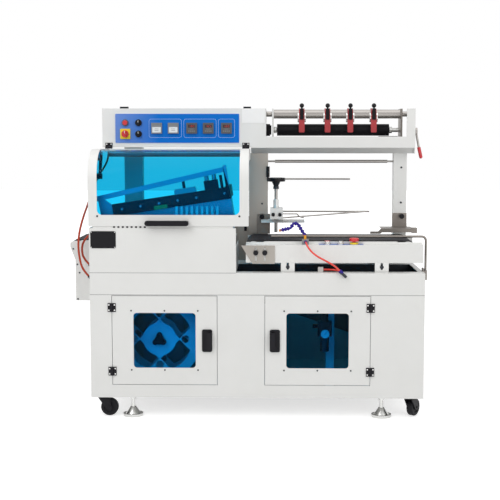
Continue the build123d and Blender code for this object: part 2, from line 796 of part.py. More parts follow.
def infeed_frame():
    s = sheet
    front = block(infeed_x0, infeed_x1, infeed_front, infeed_front + s, infeed_z0, ledge_z)
    front += block(infeed_x0, infeed_x1, infeed_front, ledge_back, ledge_z - s, ledge_z)
    inner = block(infeed_x0, infeed_x1, ledge_back - s, ledge_back, infeed_z0, ledge_z + 8)
    rear = block(infeed_x0, infeed_x1, infeed_rear - s, infeed_rear, infeed_z0, ledge_z + 8)
    bed_top = belt_top - belt_t - skin_gap
    bed = block(nose_x + 45, tail_x - 45, ledge_back, infeed_rear - s, bed_top - 4, bed_top)
    frame = front + inner + rear + bed
    for x in (nose_x + 70, tail_x - 70):
        frame += block(x - 15, x + 15, ledge_back, infeed_rear - s, belt_top - 2 * belt_r + 22, bed_top - 4)
    for x in (nose_x, tail_x):
        z = belt_top - belt_r
        frame -= rod_y(x, ledge_back - s, ledge_back, z, roller_axle_r + run_gap)
        frame -= rod_y(x, infeed_rear - s, infeed_rear, z, roller_axle_r + run_gap)
    frame += rod_y(tail_x, ledge_back, infeed_rear - s, belt_top - belt_r, belt_r - belt_t - skin_gap)
    frame += rod_y(tail_x, ledge_back - s, infeed_rear, belt_top - belt_r, roller_axle_r)
    for x, r, h in (
        (ledge_button_xs[0], ledge_button_r, ring_h),
        (ledge_button_xs[1], ledge_button_r, ring_h),
        (estop_x, collar_r, collar_h),
    ):
        frame += rod_z(x, ledge_button_y, ledge_z, ledge_z + h, r + 3)
        frame -= rod_z(x, ledge_button_y, ledge_z - s, ledge_z + h, button_stem_r + run_gap)
    return frame


def infeed_roller():
    z = belt_top - belt_r
    body = rod_y(nose_x, belt_y0 - 2, belt_y1 + 2, z, belt_r - belt_t - skin_gap)
    return body + rod_y(nose_x, ledge_back - sheet, infeed_rear, z, roller_axle_r)


def loop_belt(xa, xb, r, y0, y1):
    z = belt_top - r
    outer = SlotCenterToCenter(xb - xa, 2 * r)
    inner = SlotCenterToCenter(xb - xa, 2 * (r - belt_t))
    return extrude(xz_plane((xa + xb) / 2, y1, z) * (outer - inner), y1 - y0)


def infeed_brackets():
    pieces = []
    back = infeed_front + sheet
    half = support_w / 2
    for x in support_xs:
        plate = block(x - half, x + half, back, back + support_t, deck_z, infeed_z0 + support_lap)
        plate -= rounded_slot(
            x - slot_w / 2, x + slot_w / 2, back, back + support_t, deck_z + 11, infeed_z0 + 20, slot_w / 2 - 0.5,
        )
        pieces.append(plate)
        rear = infeed_rear - sheet
        pieces.append(block(x - half, x + half, rear - support_t, rear, deck_z, infeed_z0 + 18))
    nose_z0 = infeed_z0 - 4
    top = ledge_z - 3
    outline = [(infeed_x0 - 20, top), (75, top), (75, nose_z0), (infeed_x0 + 27, nose_z0)]
    nose = plate_xz(outline, infeed_front - nose_t, infeed_front)
    for x in nose_knob_xs:
        nose -= rounded_slot(x - 4, x + 4, infeed_front - nose_t, infeed_front, nose_z0 + 10, ledge_z - 11, 3.5)
    pieces.append(nose)
    # boss that takes the feed hose on the rim
    pieces.append(block(258, 280, -363, -341, deck_z, deck_z + 22))
    return pieces


def clamp_knobs():
    pieces = []
    for x in nose_knob_xs:
        pieces.append(rod_y(x, infeed_front - nose_t - 16, infeed_front - nose_t, nose_knob_z, 10.5))
    for x, z in ((17.0, 835.0), (column_right[0] + 37, 838.0)):
        pieces.append(rod_y(x, column_y0 - 6 - 22, column_y0 - 6, z, 11))
    return pieces


def estop_button():
    cap_z = ledge_z + collar_h + estop_travel + press_gap
    stem = rod_z(estop_x, ledge_button_y, ledge_z - 12, cap_z + 2, button_stem_r)
    cap = rod_z(estop_x, ledge_button_y, cap_z, cap_z + estop_h, estop_r)
    cap = fillet(cap.edges().group_by(Axis.Z)[-1], 5)
    return stem + cap


def run_button(x):
    cap_z = ledge_z + ring_h + run_travel + press_gap
    stem = rod_z(x, ledge_button_y, ledge_z - 12, cap_z + 1, button_stem_r)
    cap = rod_z(x, ledge_button_y, cap_z, cap_z + 6, ledge_button_r)
    cap = fillet(cap.edges().group_by(Axis.Z)[-1], 1.5)
    return stem + cap


def film_brackets():
    y1 = column_y0
    left = block(-7, 54, y1 - 6, y1, 756, 846) + block(40, 54, y1 - 6, y1 + 30, 756, 846)
    left -= block(column_mid[0], column_mid[1], y1, column_y1, 700, 900)
    side = column_right[0]
    right = block(side - 5, side + 61, y1 - 6, y1, 787, 852)
    # folding plate: a flange seen from the front under a flat top, hung from the right bracket
    outline = [
        (side - 115, fold_low_z), (side - 70, fold_low_z), (side - 62, fold_z - 18), (side + 77, fold_z - 18),
        (side + 77, fold_z), (side - 66, fold_z), (side - 80, fold_low_z + 11), (side - 115, fold_low_z + 11),
    ]
    fold = plate_xz(outline, fold_y, fold_y + sheet)
    fold += block(side - 64, side + 77, fold_y + 1, y1 - 6, fold_z - sheet, fold_z)
    fold += block(side + 72, side + 95, fold_y, fold_y + 40, fold_z - 21, fold_z + 2)
    fold += block(side - 5, side + 61, y1 - 10, y1 - 6, fold_z - sheet + 1, fold_z + 14)
    return [left, right, fold]


def forming_arm():
    arm = block(14, 210, -20, column_y0, arm_z0, arm_z1)
    return arm - rod_z(screw_x, screw_y, arm_z0, arm_z1, screw_r + run_gap)


def handwheel():
    wheel_part = rod_z(screw_x, screw_y, 766, wheel_z, screw_r)
    wheel_part += rod_z(screw_x, screw_y, wheel_z - 45, wheel_z - 33, 13)
    wheel_part += Pos(screw_x, screw_y, wheel_z - 22) * Cone(10, 20, 22)
    rim = rod_z(screw_x, screw_y, wheel_z - 11, wheel_z + 6, hand_r) - rod_z(screw_x, screw_y, wheel_z - 11, wheel_z + 6, hand_r - 9)
    wheel_part += fillet(rim.edges(), 2.5)
    for k in range(3):
        wheel_part += Pos(screw_x, screw_y, wheel_z - 3) * Rot(0, 0, 30 + 120 * k) * Pos(20, 0, 0) * Box(34, 11, 8)
    wheel_part += rod_z(screw_x, screw_y, wheel_z - 11, wheel_z + 6, 16)
    wheel_part += rod_z(screw_x - hand_r + 5, screw_y, wheel_z, wheel_z + 57, 4)
    wheel_part += rod_z(screw_x - hand_r + 5, screw_y, wheel_z + 9, wheel_z + 57, 8)
    return wheel_part


def forming_carriage():
    block_part = block(54, 112, -62, 48, block_z0, block_z1)
    block_part += rod_z(screw_x, screw_y, block_z1, block_z1 + 36, 13)
    block_part -= rod_z(screw_x, screw_y, block_z0, block_z1 + 36, screw_r + run_gap)
    block_part += rod_x(110, 506, screw_y, former_z, 4)
    block_part += link((108, -52, former_low_z), (490, screw_y, former_z), 3.4)
    for x in (68, 98):
        block_part += rod_y(x, -78, -62, 852, 8)
    wire = FilletPolyline((108, -40, 854), (176, -40, 854), (186, -40, 842), (206, -40, 836), radius=5)
    block_part += sweep(Plane(origin=(108, -40, 854), z_dir=(1, 0, 0)) * Circle(3), wire)
    return block_part


def outfeed_housing():
    s = sheet
    bed_z = belt_top - belt_t - skin_gap
    right = outfeed_x1 + 10
    low_z = housing_top - 1
    points = [
        (outfeed_x0 - 8, bed_z - 29), (outfeed_x0 - 8, bed_z - 11), (outfeed_x0 + 5, bed_z - 2), (right, bed_z - 2),
        (right, low_z), (-half_w - 6, low_z), (housing_x0 - 1, low_z - 31),
    ]
    frame = plate_xz(points, outfeed_front, outfeed_front + s)
    frame += plate_xz(points, outfeed_rear - s, outfeed_rear)
    frame += block(outfeed_x0 + 40, outfeed_x1 - 30, outfeed_front + s, outfeed_rear - s, bed_z - 6, bed_z)
    for x in (outfeed_foot_inset - half_w, outfeed_foot_x):
        frame += block(x - 20, x + 20, outfeed_front, outfeed_front + s, deck_z, housing_top)
        frame += block(x - 20, x + 20, outfeed_rear - s, outfeed_rear, deck_z, housing_top)
    cover = block(housing_x0, -half_w, outfeed_front, outfeed_rear, housing_z0, housing_top)
    cover -= block(housing_x0 + s, -half_w, outfeed_front + s, outfeed_rear - s, housing_z0 + s, housing_top)
    frame += cover
    frame -= block(housing_x0, -half_w, outfeed_front + s, outfeed_rear - s, outfeed_wall_z, housing_top)
    return frame


def lower_jaw():
    rail = block(jaw_x0, jaw_x1, jaw_y0, jaw_y1 - 1, 715, seal_z)
    rail += block(cross_x0 - 3, jaw_x1, jaw_y1 - 1, cross_y1, 735, seal_z)
    for x in (jaw_x0 + 40, -300.0, -115.0):
        rail += block(x - 15, x + 15, jaw_y0, jaw_y1 - 6, deck_z, 715)
    comb = block(jaw_x0, jaw_x1, jaw_y0 - 15, jaw_y0 - 11, 715, 868)
    for k in range(9):
        x = -340 + 21.5 * k
        comb += block(x - 5, x + 5, jaw_y0 - 15, jaw_y0 - 11, 868, 906)
    rail += comb
    rail += block(jaw_x0, jaw_x1, jaw_y0 - 15, jaw_y0, 715, 727)
    post = block(jaw_pivot_x - 30, jaw_pivot_x + 30, jaw_y0 - 20, jaw_y0 - 10, deck_z, jaw_pivot_z + 25)
    post += block(jaw_pivot_x + 20, jaw_x0 + 10, jaw_y0 - 15, jaw_y0 - 11, 715, 760)
    post += rod_y(jaw_pivot_x, jaw_y0 - 15, jaw_y1, jaw_pivot_z, jaw_pin_r)
    return rail + post


def jaw_frame():
    y0 = jaw_y0
    y1 = jaw_y1
    base = seal_z + skin_gap
    mid = (y0 + y1) / 2
    beam = block(jaw_x0, jaw_x1, y0, y1, beam_z0, beam_z1)
    beam += block(jaw_x0 + 5, jaw_x1 - 5, mid - 4, mid + 4, base, beam_z0 + 4)
    beam += block(jaw_x1 - 15, jaw_x1 - 1, y0 + 1, y1 - 1, base + 1, 1000)
    beam += block(cross_x0, jaw_x1 - 2, y1 - 4, cross_y1, beam_z0 + 1, beam_z1 - 1)
    beam += block(cross_x0 + 8, cross_x0 + 16, mid, cross_y1 - 2, base, beam_z0 + 5)
    hub = jaw_pivot_x
    beam += plate_xz([(hub - 21, 930), (jaw_x1 - 8, 973), (jaw_x1 - 8, 994), (hub - 21, 951)], mid - 10, mid + 10)
    arm = [
        (hub - 16, 938), (hub + 6, 938), (hub + 48, 896), (hub + 62, 880), (hub + 18, 788), (hub - 12, 788),
    ]
    beam += plate_xz(arm, mid - 8, mid + 8)
    # spring mount and posts between the beam and the upper bar
    beam += block(-200, -140, mid - 12, mid + 12, beam_z1 - 2, beam_z1 + 38)
    for x in (-186, -154):
        beam += rod_z(x, mid, beam_z1 + 30, beam_z1 + 64, 6)
    for x in (-286, -126):
        beam += block(x - 6, x + 6, mid - 7, mid + 7, beam_z1 - 2, 962)
    beam += rod_y(jaw_pivot_x, y0 - 6, y1 - 2, jaw_pivot_z, 24)
    beam -= rod_y(jaw_pivot_x, y0 - 20, y1 + 2, jaw_pivot_z, jaw_pin_r + run_gap)
    turn = Pos(jaw_pivot_x, 0, jaw_pivot_z) * Rot(0, -jaw_rise, 0) * Pos(-jaw_pivot_x, 0, -jaw_pivot_z)
    return turn * beam


def guide_rail():
    y = -300.0
    x1 = half_w + 14
    path = FilletPolyline((60, y, 776), (x1, y, 776), (x1, y, 600), radius=18)
    rail = sweep(Plane(origin=(60, y, 776), z_dir=(1, 0, 0)) * Circle(5), path)
    rail += block(half_w, half_w + 6, y - 22, y + 22, 578, 641)
    rail += block(half_w + 4, half_w + 20, y - 8, y + 8, 590, 632)
    for z in (585, 610, 635):
        rail += rod_x(half_w + 5, half_w + 11, y - 16, z, 5)
    return rail


def air_nozzle():
    y = -349.0
    base = block(190, 218, y - 15, y + 15, ledge_z, ledge_z + 22)
    points = [(203, ledge_z + 20), (203, 782), (172, 833), (154, 836), (142, 815), (92, 804)]
    places = [(px, y, pz) for px, pz in points]
    path = FilletPolyline(*places, radius=9)
    chain = base + sweep(Plane(origin=places[0], z_dir=(0, 0, 1)) * Circle(5.5), path)
    # ball segments threaded on the straight runs
    for start, end, shares in (
        (1, 2, (0.14, 0.38, 0.62, 0.84)), (2, 3, (0.46,)), (3, 4, (0.55,)), (4, 5, (0.22, 0.44, 0.66)),
    ):
        a = Vector(*places[start])
        b = Vector(*places[end])
        step = (b - a).normalized() * 3.5
        for share in shares:
            mid = a + (b - a) * share
            chain += link((mid - step).to_tuple(), (mid + step).to_tuple(), 8.5)
    return chain


def cord(name, points, r):
    radii = []
    for a, b, c in zip(points, points[1:], points[2:]):
        u = Vector(*b) - Vector(*a)
        v = Vector(*c) - Vector(*b)
        half = math.radians(u.get_angle(v)) / 2
        radii.append(0.45 * min(u.length, v.length) / math.tan(half))
    print(name, "radii", [round(v, 1) for v in radii])
    path = FilletPolyline(*points, radius=radii)
    start = Vector(*points[1]) - Vector(*points[0])
    tube = sweep(Plane(origin=points[0], z_dir=start) * Circle(r), path)
    print(name, "volume ratio", round(tube.volume / (math.pi * r * r * path.length), 3))
    return tube


valve_top = (345.7, -413.0, 642.0)
valve_run = (0.7, 0.0, -0.714)
blow_points = [
    (205, -364.3, 758), (205, -394, 758), (212, -414, 742), (230, -419, 719), (254, -415, 701), (280, -413, 687),
    (305, -413, 674), (328.2, -413, 659.9), (345.5, -413, 642.2),
]
feed_points = [(350, -404.7, 637.7), (350, -384, 637.7), (338, -362, 638), (316, -352, 640), (280.3, -352, 640)]
outer_points = [
    (-684, 46, 1150.7), (-684, 46, 1110), (-700, 36, 1066), (-722, 8, 1030), (-727, -52, 1004), (-727, -130, 976),
    (-727, -210, 944), (-728, -290, 906), (-736, -348, 862), (-750, -368, 804), (-756, -372, 746), (-752, -372, 694),
    (-740, -372, 640), (-713.7, -372, 612.7),
]
inner_points = [
    (-713.7, -348, 783.3), (-738, -348, 759), (-745.5, -348, 721), (-738, -348, 683), (-713.7, -348, 658.7),
]
hose_r = 4.0
side_hose_r = 4.5


def along_valve(d):
    return tuple(p + v * d for p, v in zip(valve_top, valve_run))


def hose_valve():
    body = link(valve_top, along_valve(16), 8)
    body += link(along_valve(14), along_valve(40), 6)
    return body


def build():
    save("cabinet_carcass", cabinet_carcass())
    save("front_frame", front_frame())
    save("apron_panel", apron_panel())
    save("door_left", door_pan_solid(door_left_x))
    save("door_left_window", door_pane(door_left_x))
    save("door_left_fittings", door_fittings(door_left_x, -1))
    save("door_right", door_pan_solid(door_right_x))
    save("door_right_window", door_pane(door_right_x))
    save("door_right_fittings", door_fittings(door_right_x, 1))
    save("hinge_leaves", fixed_leaves())
    save("scrap_reel", scrap_reel())
    save("air_regulator", air_regulator())
    save("levelling_feet", levelling_feet())
    save("front_fork_left", caster_place(-caster_x, foot_y0, 0) * fork(True))
    save("front_fork_right", caster_place(caster_x, foot_y0, right_caster_turn) * fork(True))
    save("front_wheel_left", caster_place(-caster_x, foot_y0, 0) * wheel())
    save("front_wheel_right", caster_place(caster_x, foot_y0, right_caster_turn) * wheel())
    save("rear_caster_forks", [caster_place(x, foot_y1, 90) * fork(False) for x in (-caster_x, caster_x)])
    save("rear_wheels", [caster_place(x, foot_y1, 90) * wheel() for x in (-caster_x, caster_x)])
    save("hood_frame", hood_frame())
    save("hood_window", hood_window())
    save("hood_handle", hood_handle())
    save("control_box", control_box())
    save("control_panel", control_panel())
    save("panel_fittings", panel_fittings())
    save("power_button", power_button())
    save("selector_1", selector(upper_z))
    save("selector_2", selector(lower_z))
    save("main_switch", main_switch())
    save("frame_columns", frame_columns())
    save("film_tray", film_tray())
    save("film_bars", film_bars())
    save("film_roller", film_roller())
    for k, x in enumerate(perforator_xs):
        save(f"perforator_{k + 1}", perforator(x))
    save("lift_lever", lift_lever())
    save("infeed_frame", infeed_frame())
    save("infeed_roller", infeed_roller())
    save("infeed_belt", loop_belt(nose_x, tail_x, belt_r, belt_y0, belt_y1))
    save("infeed_brackets", infeed_brackets())
    save("clamp_knobs", clamp_knobs())
    save("estop_button", estop_button())
    save("run_button_1", run_button(ledge_button_xs[0]))
    save("run_button_2", run_button(ledge_button_xs[1]))
    save("film_brackets", film_brackets() + [forming_arm()])
    save("handwheel", handwheel())
    save("forming_carriage", forming_carriage())
    save("outfeed_housing", outfeed_housing())
    belt_x0 = outfeed_x0 + outfeed_r
    save("outfeed_belt", loop_belt(belt_x0, outfeed_x1 - outfeed_r, outfeed_r, outfeed_front + 8, outfeed_rear - 8))
    save("lower_jaw", lower_jaw())
    save("jaw_frame", jaw_frame())
    save("guide_rail", guide_rail())
    save("air_nozzle", air_nozzle())
    save("blow_hose", cord("blow_hose", blow_points, hose_r))
    save("feed_hose", cord("feed_hose", feed_points, hose_r))
    save("hose_valve", hose_valve())
    save("side_hose_outer", cord("side_hose_outer", outer_points, side_hose_r))
    save("side_hose_inner", cord("side_hose_inner", inner_points, side_hose_r))


build()
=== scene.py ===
import math

import bpy
from mathutils import Matrix, Vector


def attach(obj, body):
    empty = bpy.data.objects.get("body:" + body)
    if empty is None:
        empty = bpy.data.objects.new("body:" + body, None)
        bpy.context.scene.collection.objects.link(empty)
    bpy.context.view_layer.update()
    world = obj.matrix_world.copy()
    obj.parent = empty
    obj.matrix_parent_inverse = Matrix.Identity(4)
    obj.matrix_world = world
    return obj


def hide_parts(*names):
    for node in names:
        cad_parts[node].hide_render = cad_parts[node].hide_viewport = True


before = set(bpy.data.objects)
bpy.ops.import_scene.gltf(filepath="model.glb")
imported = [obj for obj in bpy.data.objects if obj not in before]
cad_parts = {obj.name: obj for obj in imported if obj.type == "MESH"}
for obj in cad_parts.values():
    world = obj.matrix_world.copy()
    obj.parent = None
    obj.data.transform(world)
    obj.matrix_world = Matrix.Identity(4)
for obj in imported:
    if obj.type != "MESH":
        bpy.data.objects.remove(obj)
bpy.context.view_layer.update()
print("frame loaded:", len(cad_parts), "nodes")

shiftX, shiftY = 0.027, 0.008  # drawing centre line to the machine's own middle, metres
jawRest = dict(angle=8.7, pivot=(-640, 0, 800))  # the upper jaw stands this many degrees open


def at(x, y, z):
    # drawing millimetres to row metres
    return (x / 1000 + shiftX, y / 1000 + shiftY, z / 1000)


def spotOf(place):
    # drawing millimetres to row millimetres
    return tuple(1000 * v for v in at(*place))


def linear(hexText):
    channels = [int(hexText[i:i + 2], 16) / 255 for i in (1, 3, 5)]
    return tuple(c / 12.92 if c <= 0.04045 else ((c + 0.055) / 1.055) ** 2.4 for c in channels) + (1.0,)


def addNode(tree, kind, settings=None, links=None):
    node = tree.nodes.new(kind)
    for key, value in (settings or {}).items():
        if key in node.inputs:
            node.inputs[key].default_value = value
        else:
            setattr(node, key, value)
    for socket, source in (links or {}).items():
        tree.links.new(source, node.inputs[socket])
    return node


def newMaterial(name):
    material = bpy.data.materials.new(name)
    material.use_nodes = True
    tree = material.node_tree
    tree.nodes.clear()
    output = addNode(tree, "ShaderNodeOutputMaterial")
    place = addNode(tree, "ShaderNodeTexCoord")
    return material, tree, output, place.outputs["Object"]


toneA, toneB, toneOut = 6, 7, 2  # colour sockets of a Mix node
# patch, grain and ripple are sizes in millimetres; the surface's depth is a share of its grain
surfaceLook = dict(patch=111.0, patchDetail=3.0, grainDetail=2.0, depth=0.25, spread=0.06, coatRoughness=0.1)
filmLook = dict(grain=3.0, detail=2.0, bump=0.03, depth=0.0005, roughness=0.34, shine=0.12)
paneLook = dict(ripple=167.0, detail=1.0, bump=0.02, depth=0.002, roughness=0.02, index=1.12)


def finishSurface(name, light, dark, roughness, metal=0.0, grain=1.5, bump=0.1, stretch=(1, 1, 1),
                  coat=0.0, glow=0.0, shine=0.5):
    # two close tones, broken gloss and a fine relief; grain is the size of the relief in millimetres
    look = surfaceLook
    material, tree, output, place = newMaterial(name)
    turned = addNode(tree, "ShaderNodeMapping", {"Scale": stretch}, {"Vector": place})
    cloud = addNode(tree, "ShaderNodeTexNoise", {
        "Scale": 1000 / look["patch"], "Detail": look["patchDetail"]}, {"Vector": turned.outputs["Vector"]})
    fine = addNode(tree, "ShaderNodeTexNoise", {"Scale": 1000 / grain, "Detail": look["grainDetail"]},
                   {"Vector": turned.outputs["Vector"]})
    tone = addNode(tree, "ShaderNodeMix", {"data_type": "RGBA"}, {"Factor": cloud.outputs["Fac"]})
    tone.inputs[toneA].default_value = linear(light)
    tone.inputs[toneB].default_value = linear(dark)
    gloss = addNode(tree, "ShaderNodeMapRange", {
        "To Min": roughness - look["spread"], "To Max": roughness + look["spread"]},
        {"Value": fine.outputs["Fac"]})
    relief = addNode(tree, "ShaderNodeBump", {"Strength": bump, "Distance": grain / 1000 * look["depth"]},
                     {"Height": fine.outputs["Fac"]})
    shader = addNode(tree, "ShaderNodeBsdfPrincipled", {
        "Metallic": metal, "Coat Weight": coat, "Coat Roughness": look["coatRoughness"],
        "Emission Color": linear(light), "Emission Strength": glow, "Specular IOR Level": shine}, {
        "Base Color": tone.outputs[toneOut], "Roughness": gloss.outputs["Result"],
        "Normal": relief.outputs["Normal"]})
    tree.links.new(shader.outputs["BSDF"], output.inputs["Surface"])
    return material


def fadedFilm(name, left, right, x0, x1):
    # reverse-printed film: glossy face over the print, with a painted reflection that lightens one end of the
    # panel and fades out towards the other
    look = filmLook
    material, tree, output, place = newMaterial(name)
    split = addNode(tree, "ShaderNodeSeparateXYZ", {}, {"Vector": place})
    fade = addNode(tree, "ShaderNodeMapRange", {"From Min": x0, "From Max": x1},
                   {"Value": split.outputs["X"]})
    tone = addNode(tree, "ShaderNodeMix", {"data_type": "RGBA"}, {"Factor": fade.outputs["Result"]})
    tone.inputs[toneA].default_value = linear(left)
    tone.inputs[toneB].default_value = linear(right)
    fine = addNode(tree, "ShaderNodeTexNoise", {"Scale": 1000 / look["grain"], "Detail": look["detail"]},
                   {"Vector": place})
    relief = addNode(tree, "ShaderNodeBump", {"Strength": look["bump"], "Distance": look["depth"]},
                     {"Height": fine.outputs["Fac"]})
    shader = addNode(tree, "ShaderNodeBsdfPrincipled", {
        "Roughness": look["roughness"], "Specular IOR Level": look["shine"]}, {
        "Base Color": tone.outputs[toneOut], "Normal": relief.outputs["Normal"]})
    tree.links.new(shader.outputs["BSDF"], output.inputs["Surface"])
    return material


def tintedAcrylic(name, tint, shade):
    # cast acrylic: clear, its colour deepens what lies behind and light falls through it;
    # the index is kept low, because the real sheets hardly mirror the white room
    look = paneLook
    material, tree, output, place = newMaterial(name)
    ripple = addNode(tree, "ShaderNodeTexNoise", {"Scale": 1000 / look["ripple"], "Detail": look["detail"]},
                     {"Vector": place})
    relief = addNode(tree, "ShaderNodeBump", {"Strength": look["bump"], "Distance": look["depth"]},
                     {"Height": ripple.outputs["Fac"]})
    pane = addNode(tree, "ShaderNodeBsdfPrincipled", {
        "Base Color": linear(tint), "Roughness": look["roughness"], "IOR": look["index"],
        "Transmission Weight": 1.0}, {"Normal": relief.outputs["Normal"]})
    clear = addNode(tree, "ShaderNodeBsdfTransparent", {"Color": linear(shade)})
    rays = addNode(tree, "ShaderNodeLightPath")
    both = addNode(tree, "ShaderNodeMixShader", {}, {
        "Fac": rays.outputs["Is Shadow Ray"], 1: pane.outputs["BSDF"], 2: clear.outputs["BSDF"]})
    tree.links.new(both.outputs["Shader"], output.inputs["Surface"])
    return material


# sheet metal coats: eggshell gloss with the faint orange peel of powder
whiteCoat = finishSurface("warmWhitePowderCoat", "#E6E6E4", "#E0E0DD", 0.42, grain=1.2, bump=0.06)
greyCoat = finishSurface("greyPowderCoat", "#C6C5C2", "#BBBAB7", 0.45, grain=1.2, bump=0.06)
# inside of the cabinet: a greyer coat than the outside, as painted shade; flat, hardly any highlight
insideCoat = finishSurface("greyInsidePaintedShade", "#B2BABC", "#A4ACAE", 0.65, grain=2.0, shine=0.3)
# bare metals: the brushing or drawing runs one way, so their highlights are drawn out along it
upright, lengthwise, drawn = (1, 1, 0.06), (0.1, 1, 1), (0.02, 1, 1)
brushedSteel = finishSurface("brushedStainless", "#A5A099", "#918C86", 0.34, metal=1.0, grain=1.0, bump=0.12,
                             stretch=upright)
rodSteel = finishSurface("drawnSteelRod", "#A9A5A1", "#928E8A", 0.3, metal=1.0, grain=0.8, bump=0.05,
                         stretch=drawn)
milledAlu = finishSurface("milledAluminium", "#D2D2D0", "#BDBDBB", 0.36, metal=1.0, grain=1.2,
                          stretch=lengthwise)
jawAlu = finishSurface("anodisedJawAluminium", "#C4D2DC", "#AFBDC8", 0.38, metal=0.9, grain=1.2,
                       stretch=lengthwise)
# plate with its rolled skin: greyer and duller than the brushed sheet
bracketSteel = finishSurface("pickledSteelPlate", "#8C8680", "#77716C", 0.42, metal=0.9, bump=0.12)
# oil-blacked steel: half dull, a little metal in the highlight
darkSteel = finishSurface("blackenedSteel", "#3B3E44", "#2B2D32", 0.45, metal=0.6, bump=0.12)
# zinc on screws, feet and axles: bright, sharp highlights
chromePlate = finishSurface("brightZincPlate", "#D6D6D4", "#C2C2C0", 0.22, metal=1.0, bump=0.05)
# mouldings: soft highlights with a fine tool texture, glossier where a part is turned or polished
blackPlastic = finishSurface("blackNylon", "#1B1A1F", "#131217", 0.42, grain=0.8, shine=0.18)
blackGloss = finishSurface("blackPhenolic", "#141318", "#0E0D11", 0.22, grain=1.2, bump=0.04, shine=0.18)
redPlastic = finishSurface("redMouldedCap", "#D8202A", "#C41B25", 0.3, grain=0.8, bump=0.04, coat=0.3)
yellowPlastic = finishSurface("yellowMouldedCollar", "#F5D92A", "#E8C71E", 0.35, grain=0.8, bump=0.04)
orangePlastic = finishSurface("orangeMouldedFitting", "#F0A818", "#E2960E", 0.35, grain=0.8, bump=0.04)
greyPlastic = finishSurface("greyMeterMoulding", "#8E8F90", "#7F8081", 0.45, grain=0.8, bump=0.05)
darkPlastic = finishSurface("darkMeterFace", "#5B5C5F", "#505154", 0.35, grain=0.8, bump=0.05)
palePlastic = finishSurface("paleMeterFace", "#F2F2F0", "#E8E8E6", 0.4, grain=0.8, bump=0.04)
nozzlePlastic = finishSurface("violetBlueAcetal", "#2A158C", "#210F78", 0.34, grain=1.0, bump=0.05,
                              shine=0.25)
reelWhite = finishSurface("machinedReelPolymer", "#F4F6F6", "#EAEDEE", 0.45, bump=0.06)
# rubbers: dull, the belt with a coarse weave that is drawn a little larger than real so that it shows
beltRubber = finishSurface("wovenBeltRubber", "#1E1D22", "#16151A", 0.62, grain=2.2, bump=0.35, shine=0.14)
rollerRubber = finishSurface("groundRollerRubber", "#151418", "#0E0D10", 0.5, grain=1.0, bump=0.12,
                             shine=0.12)
tyreRubber = finishSurface("casterTyreRubber", "#1C1C20", "#141418", 0.55, bump=0.2, shine=0.2)
greenPad = finishSurface("greenSiliconePad", "#3FA35A", "#33924E", 0.5, bump=0.08)
# enamel on a casting: a thin gloss over a slightly uneven skin
redYoke = finishSurface("redEnamelledCasting", "#B32B31", "#98242A", 0.35, coat=0.2)
# tube: clear gloss over a flat body colour
hoseRed = finishSurface("redPolyurethaneTube", "#EE4434", "#DC3224", 0.28, bump=0.03, coat=0.3)
hoseRust = finishSurface("rustPolyurethaneTube", "#B03E22", "#9C341A", 0.34, bump=0.03, shine=0.3)
# printed films and card: flat, even colour under a faint sheen; the panel film's colour also holds a painted
# reflection, lighter at its left end
panelFilm = fadedFilm("bluePanelFilm", "#6C8FD6", "#0A70CC", x0=-0.618, x1=-0.42)
panelEdge = finishSurface("paleBluePrintedEdge", "#5E8FE0", "#5486D8", 0.35, grain=2.0, bump=0.02, shine=0.2)
outlineInk = finishSurface("whitePrintedLine", "#C2D6F6", "#B6CCF0", 0.4, grain=2.0, bump=0.02, shine=0.2)
stripFilm = finishSurface("blueLabelStrip", "#4A6CB4", "#3D5FA8", 0.35, grain=2.0, bump=0.02)
whiteCard = finishSurface("whiteLaminatedCard", "#F4F4F3", "#EEEEED", 0.3, grain=2.0, bump=0.02)
# displays: a dim polished lens, and strokes lit from behind
smokedLens = finishSurface("smokedDisplayLens", "#4A3B3D", "#42363A", 0.2, grain=1.0, bump=0.02, shine=0.25)
digitRed = finishSurface("litRedSegment", "#D8382C", "#CC3026", 0.4, grain=1.0, bump=0.02, glow=0.12)
# acrylic sheets: clear blue, the doors' a little deeper than the hood's
hoodAcrylic = tintedAcrylic("blueHoodAcrylic", "#18B2DE", "#DFF4FB")
doorAcrylic = tintedAcrylic("blueDoorAcrylic", "#0CA8DC", "#D8F0FC")
print("materials made:", len(bpy.data.materials))


def dress(nodeName, base, *zones, unturn=None):
    # base finish, then finishes for the faces whose middle lies in a box, in drawing millimetres;
    # unturn says how far the node stands turned about Y
    mesh = bpy.data.objects[nodeName].data
    mesh.materials.clear()
    mesh.materials.append(base)
    for finish, *_ in zones:
        mesh.materials.append(finish)
    for face in mesh.polygons:
        x, y, z = (1000 * (c - s) for c, s in zip(face.center, (shiftX, shiftY, 0)))
        if unturn:
            angle = math.radians(unturn["angle"])
            pivotX, _, pivotZ = unturn["pivot"]
            dx, dz = x - pivotX, z - pivotZ
            x = pivotX + dx * math.cos(angle) + dz * math.sin(angle)
            z = pivotZ - dx * math.sin(angle) + dz * math.cos(angle)
        face.material_index = 0
        for index, (_, (x0, x1), (y0, y1), (z0, z1)) in enumerate(zones, 1):
            if x0 <= x <= x1 and y0 <= y <= y1 and z0 <= z <= z1:
                face.material_index = index


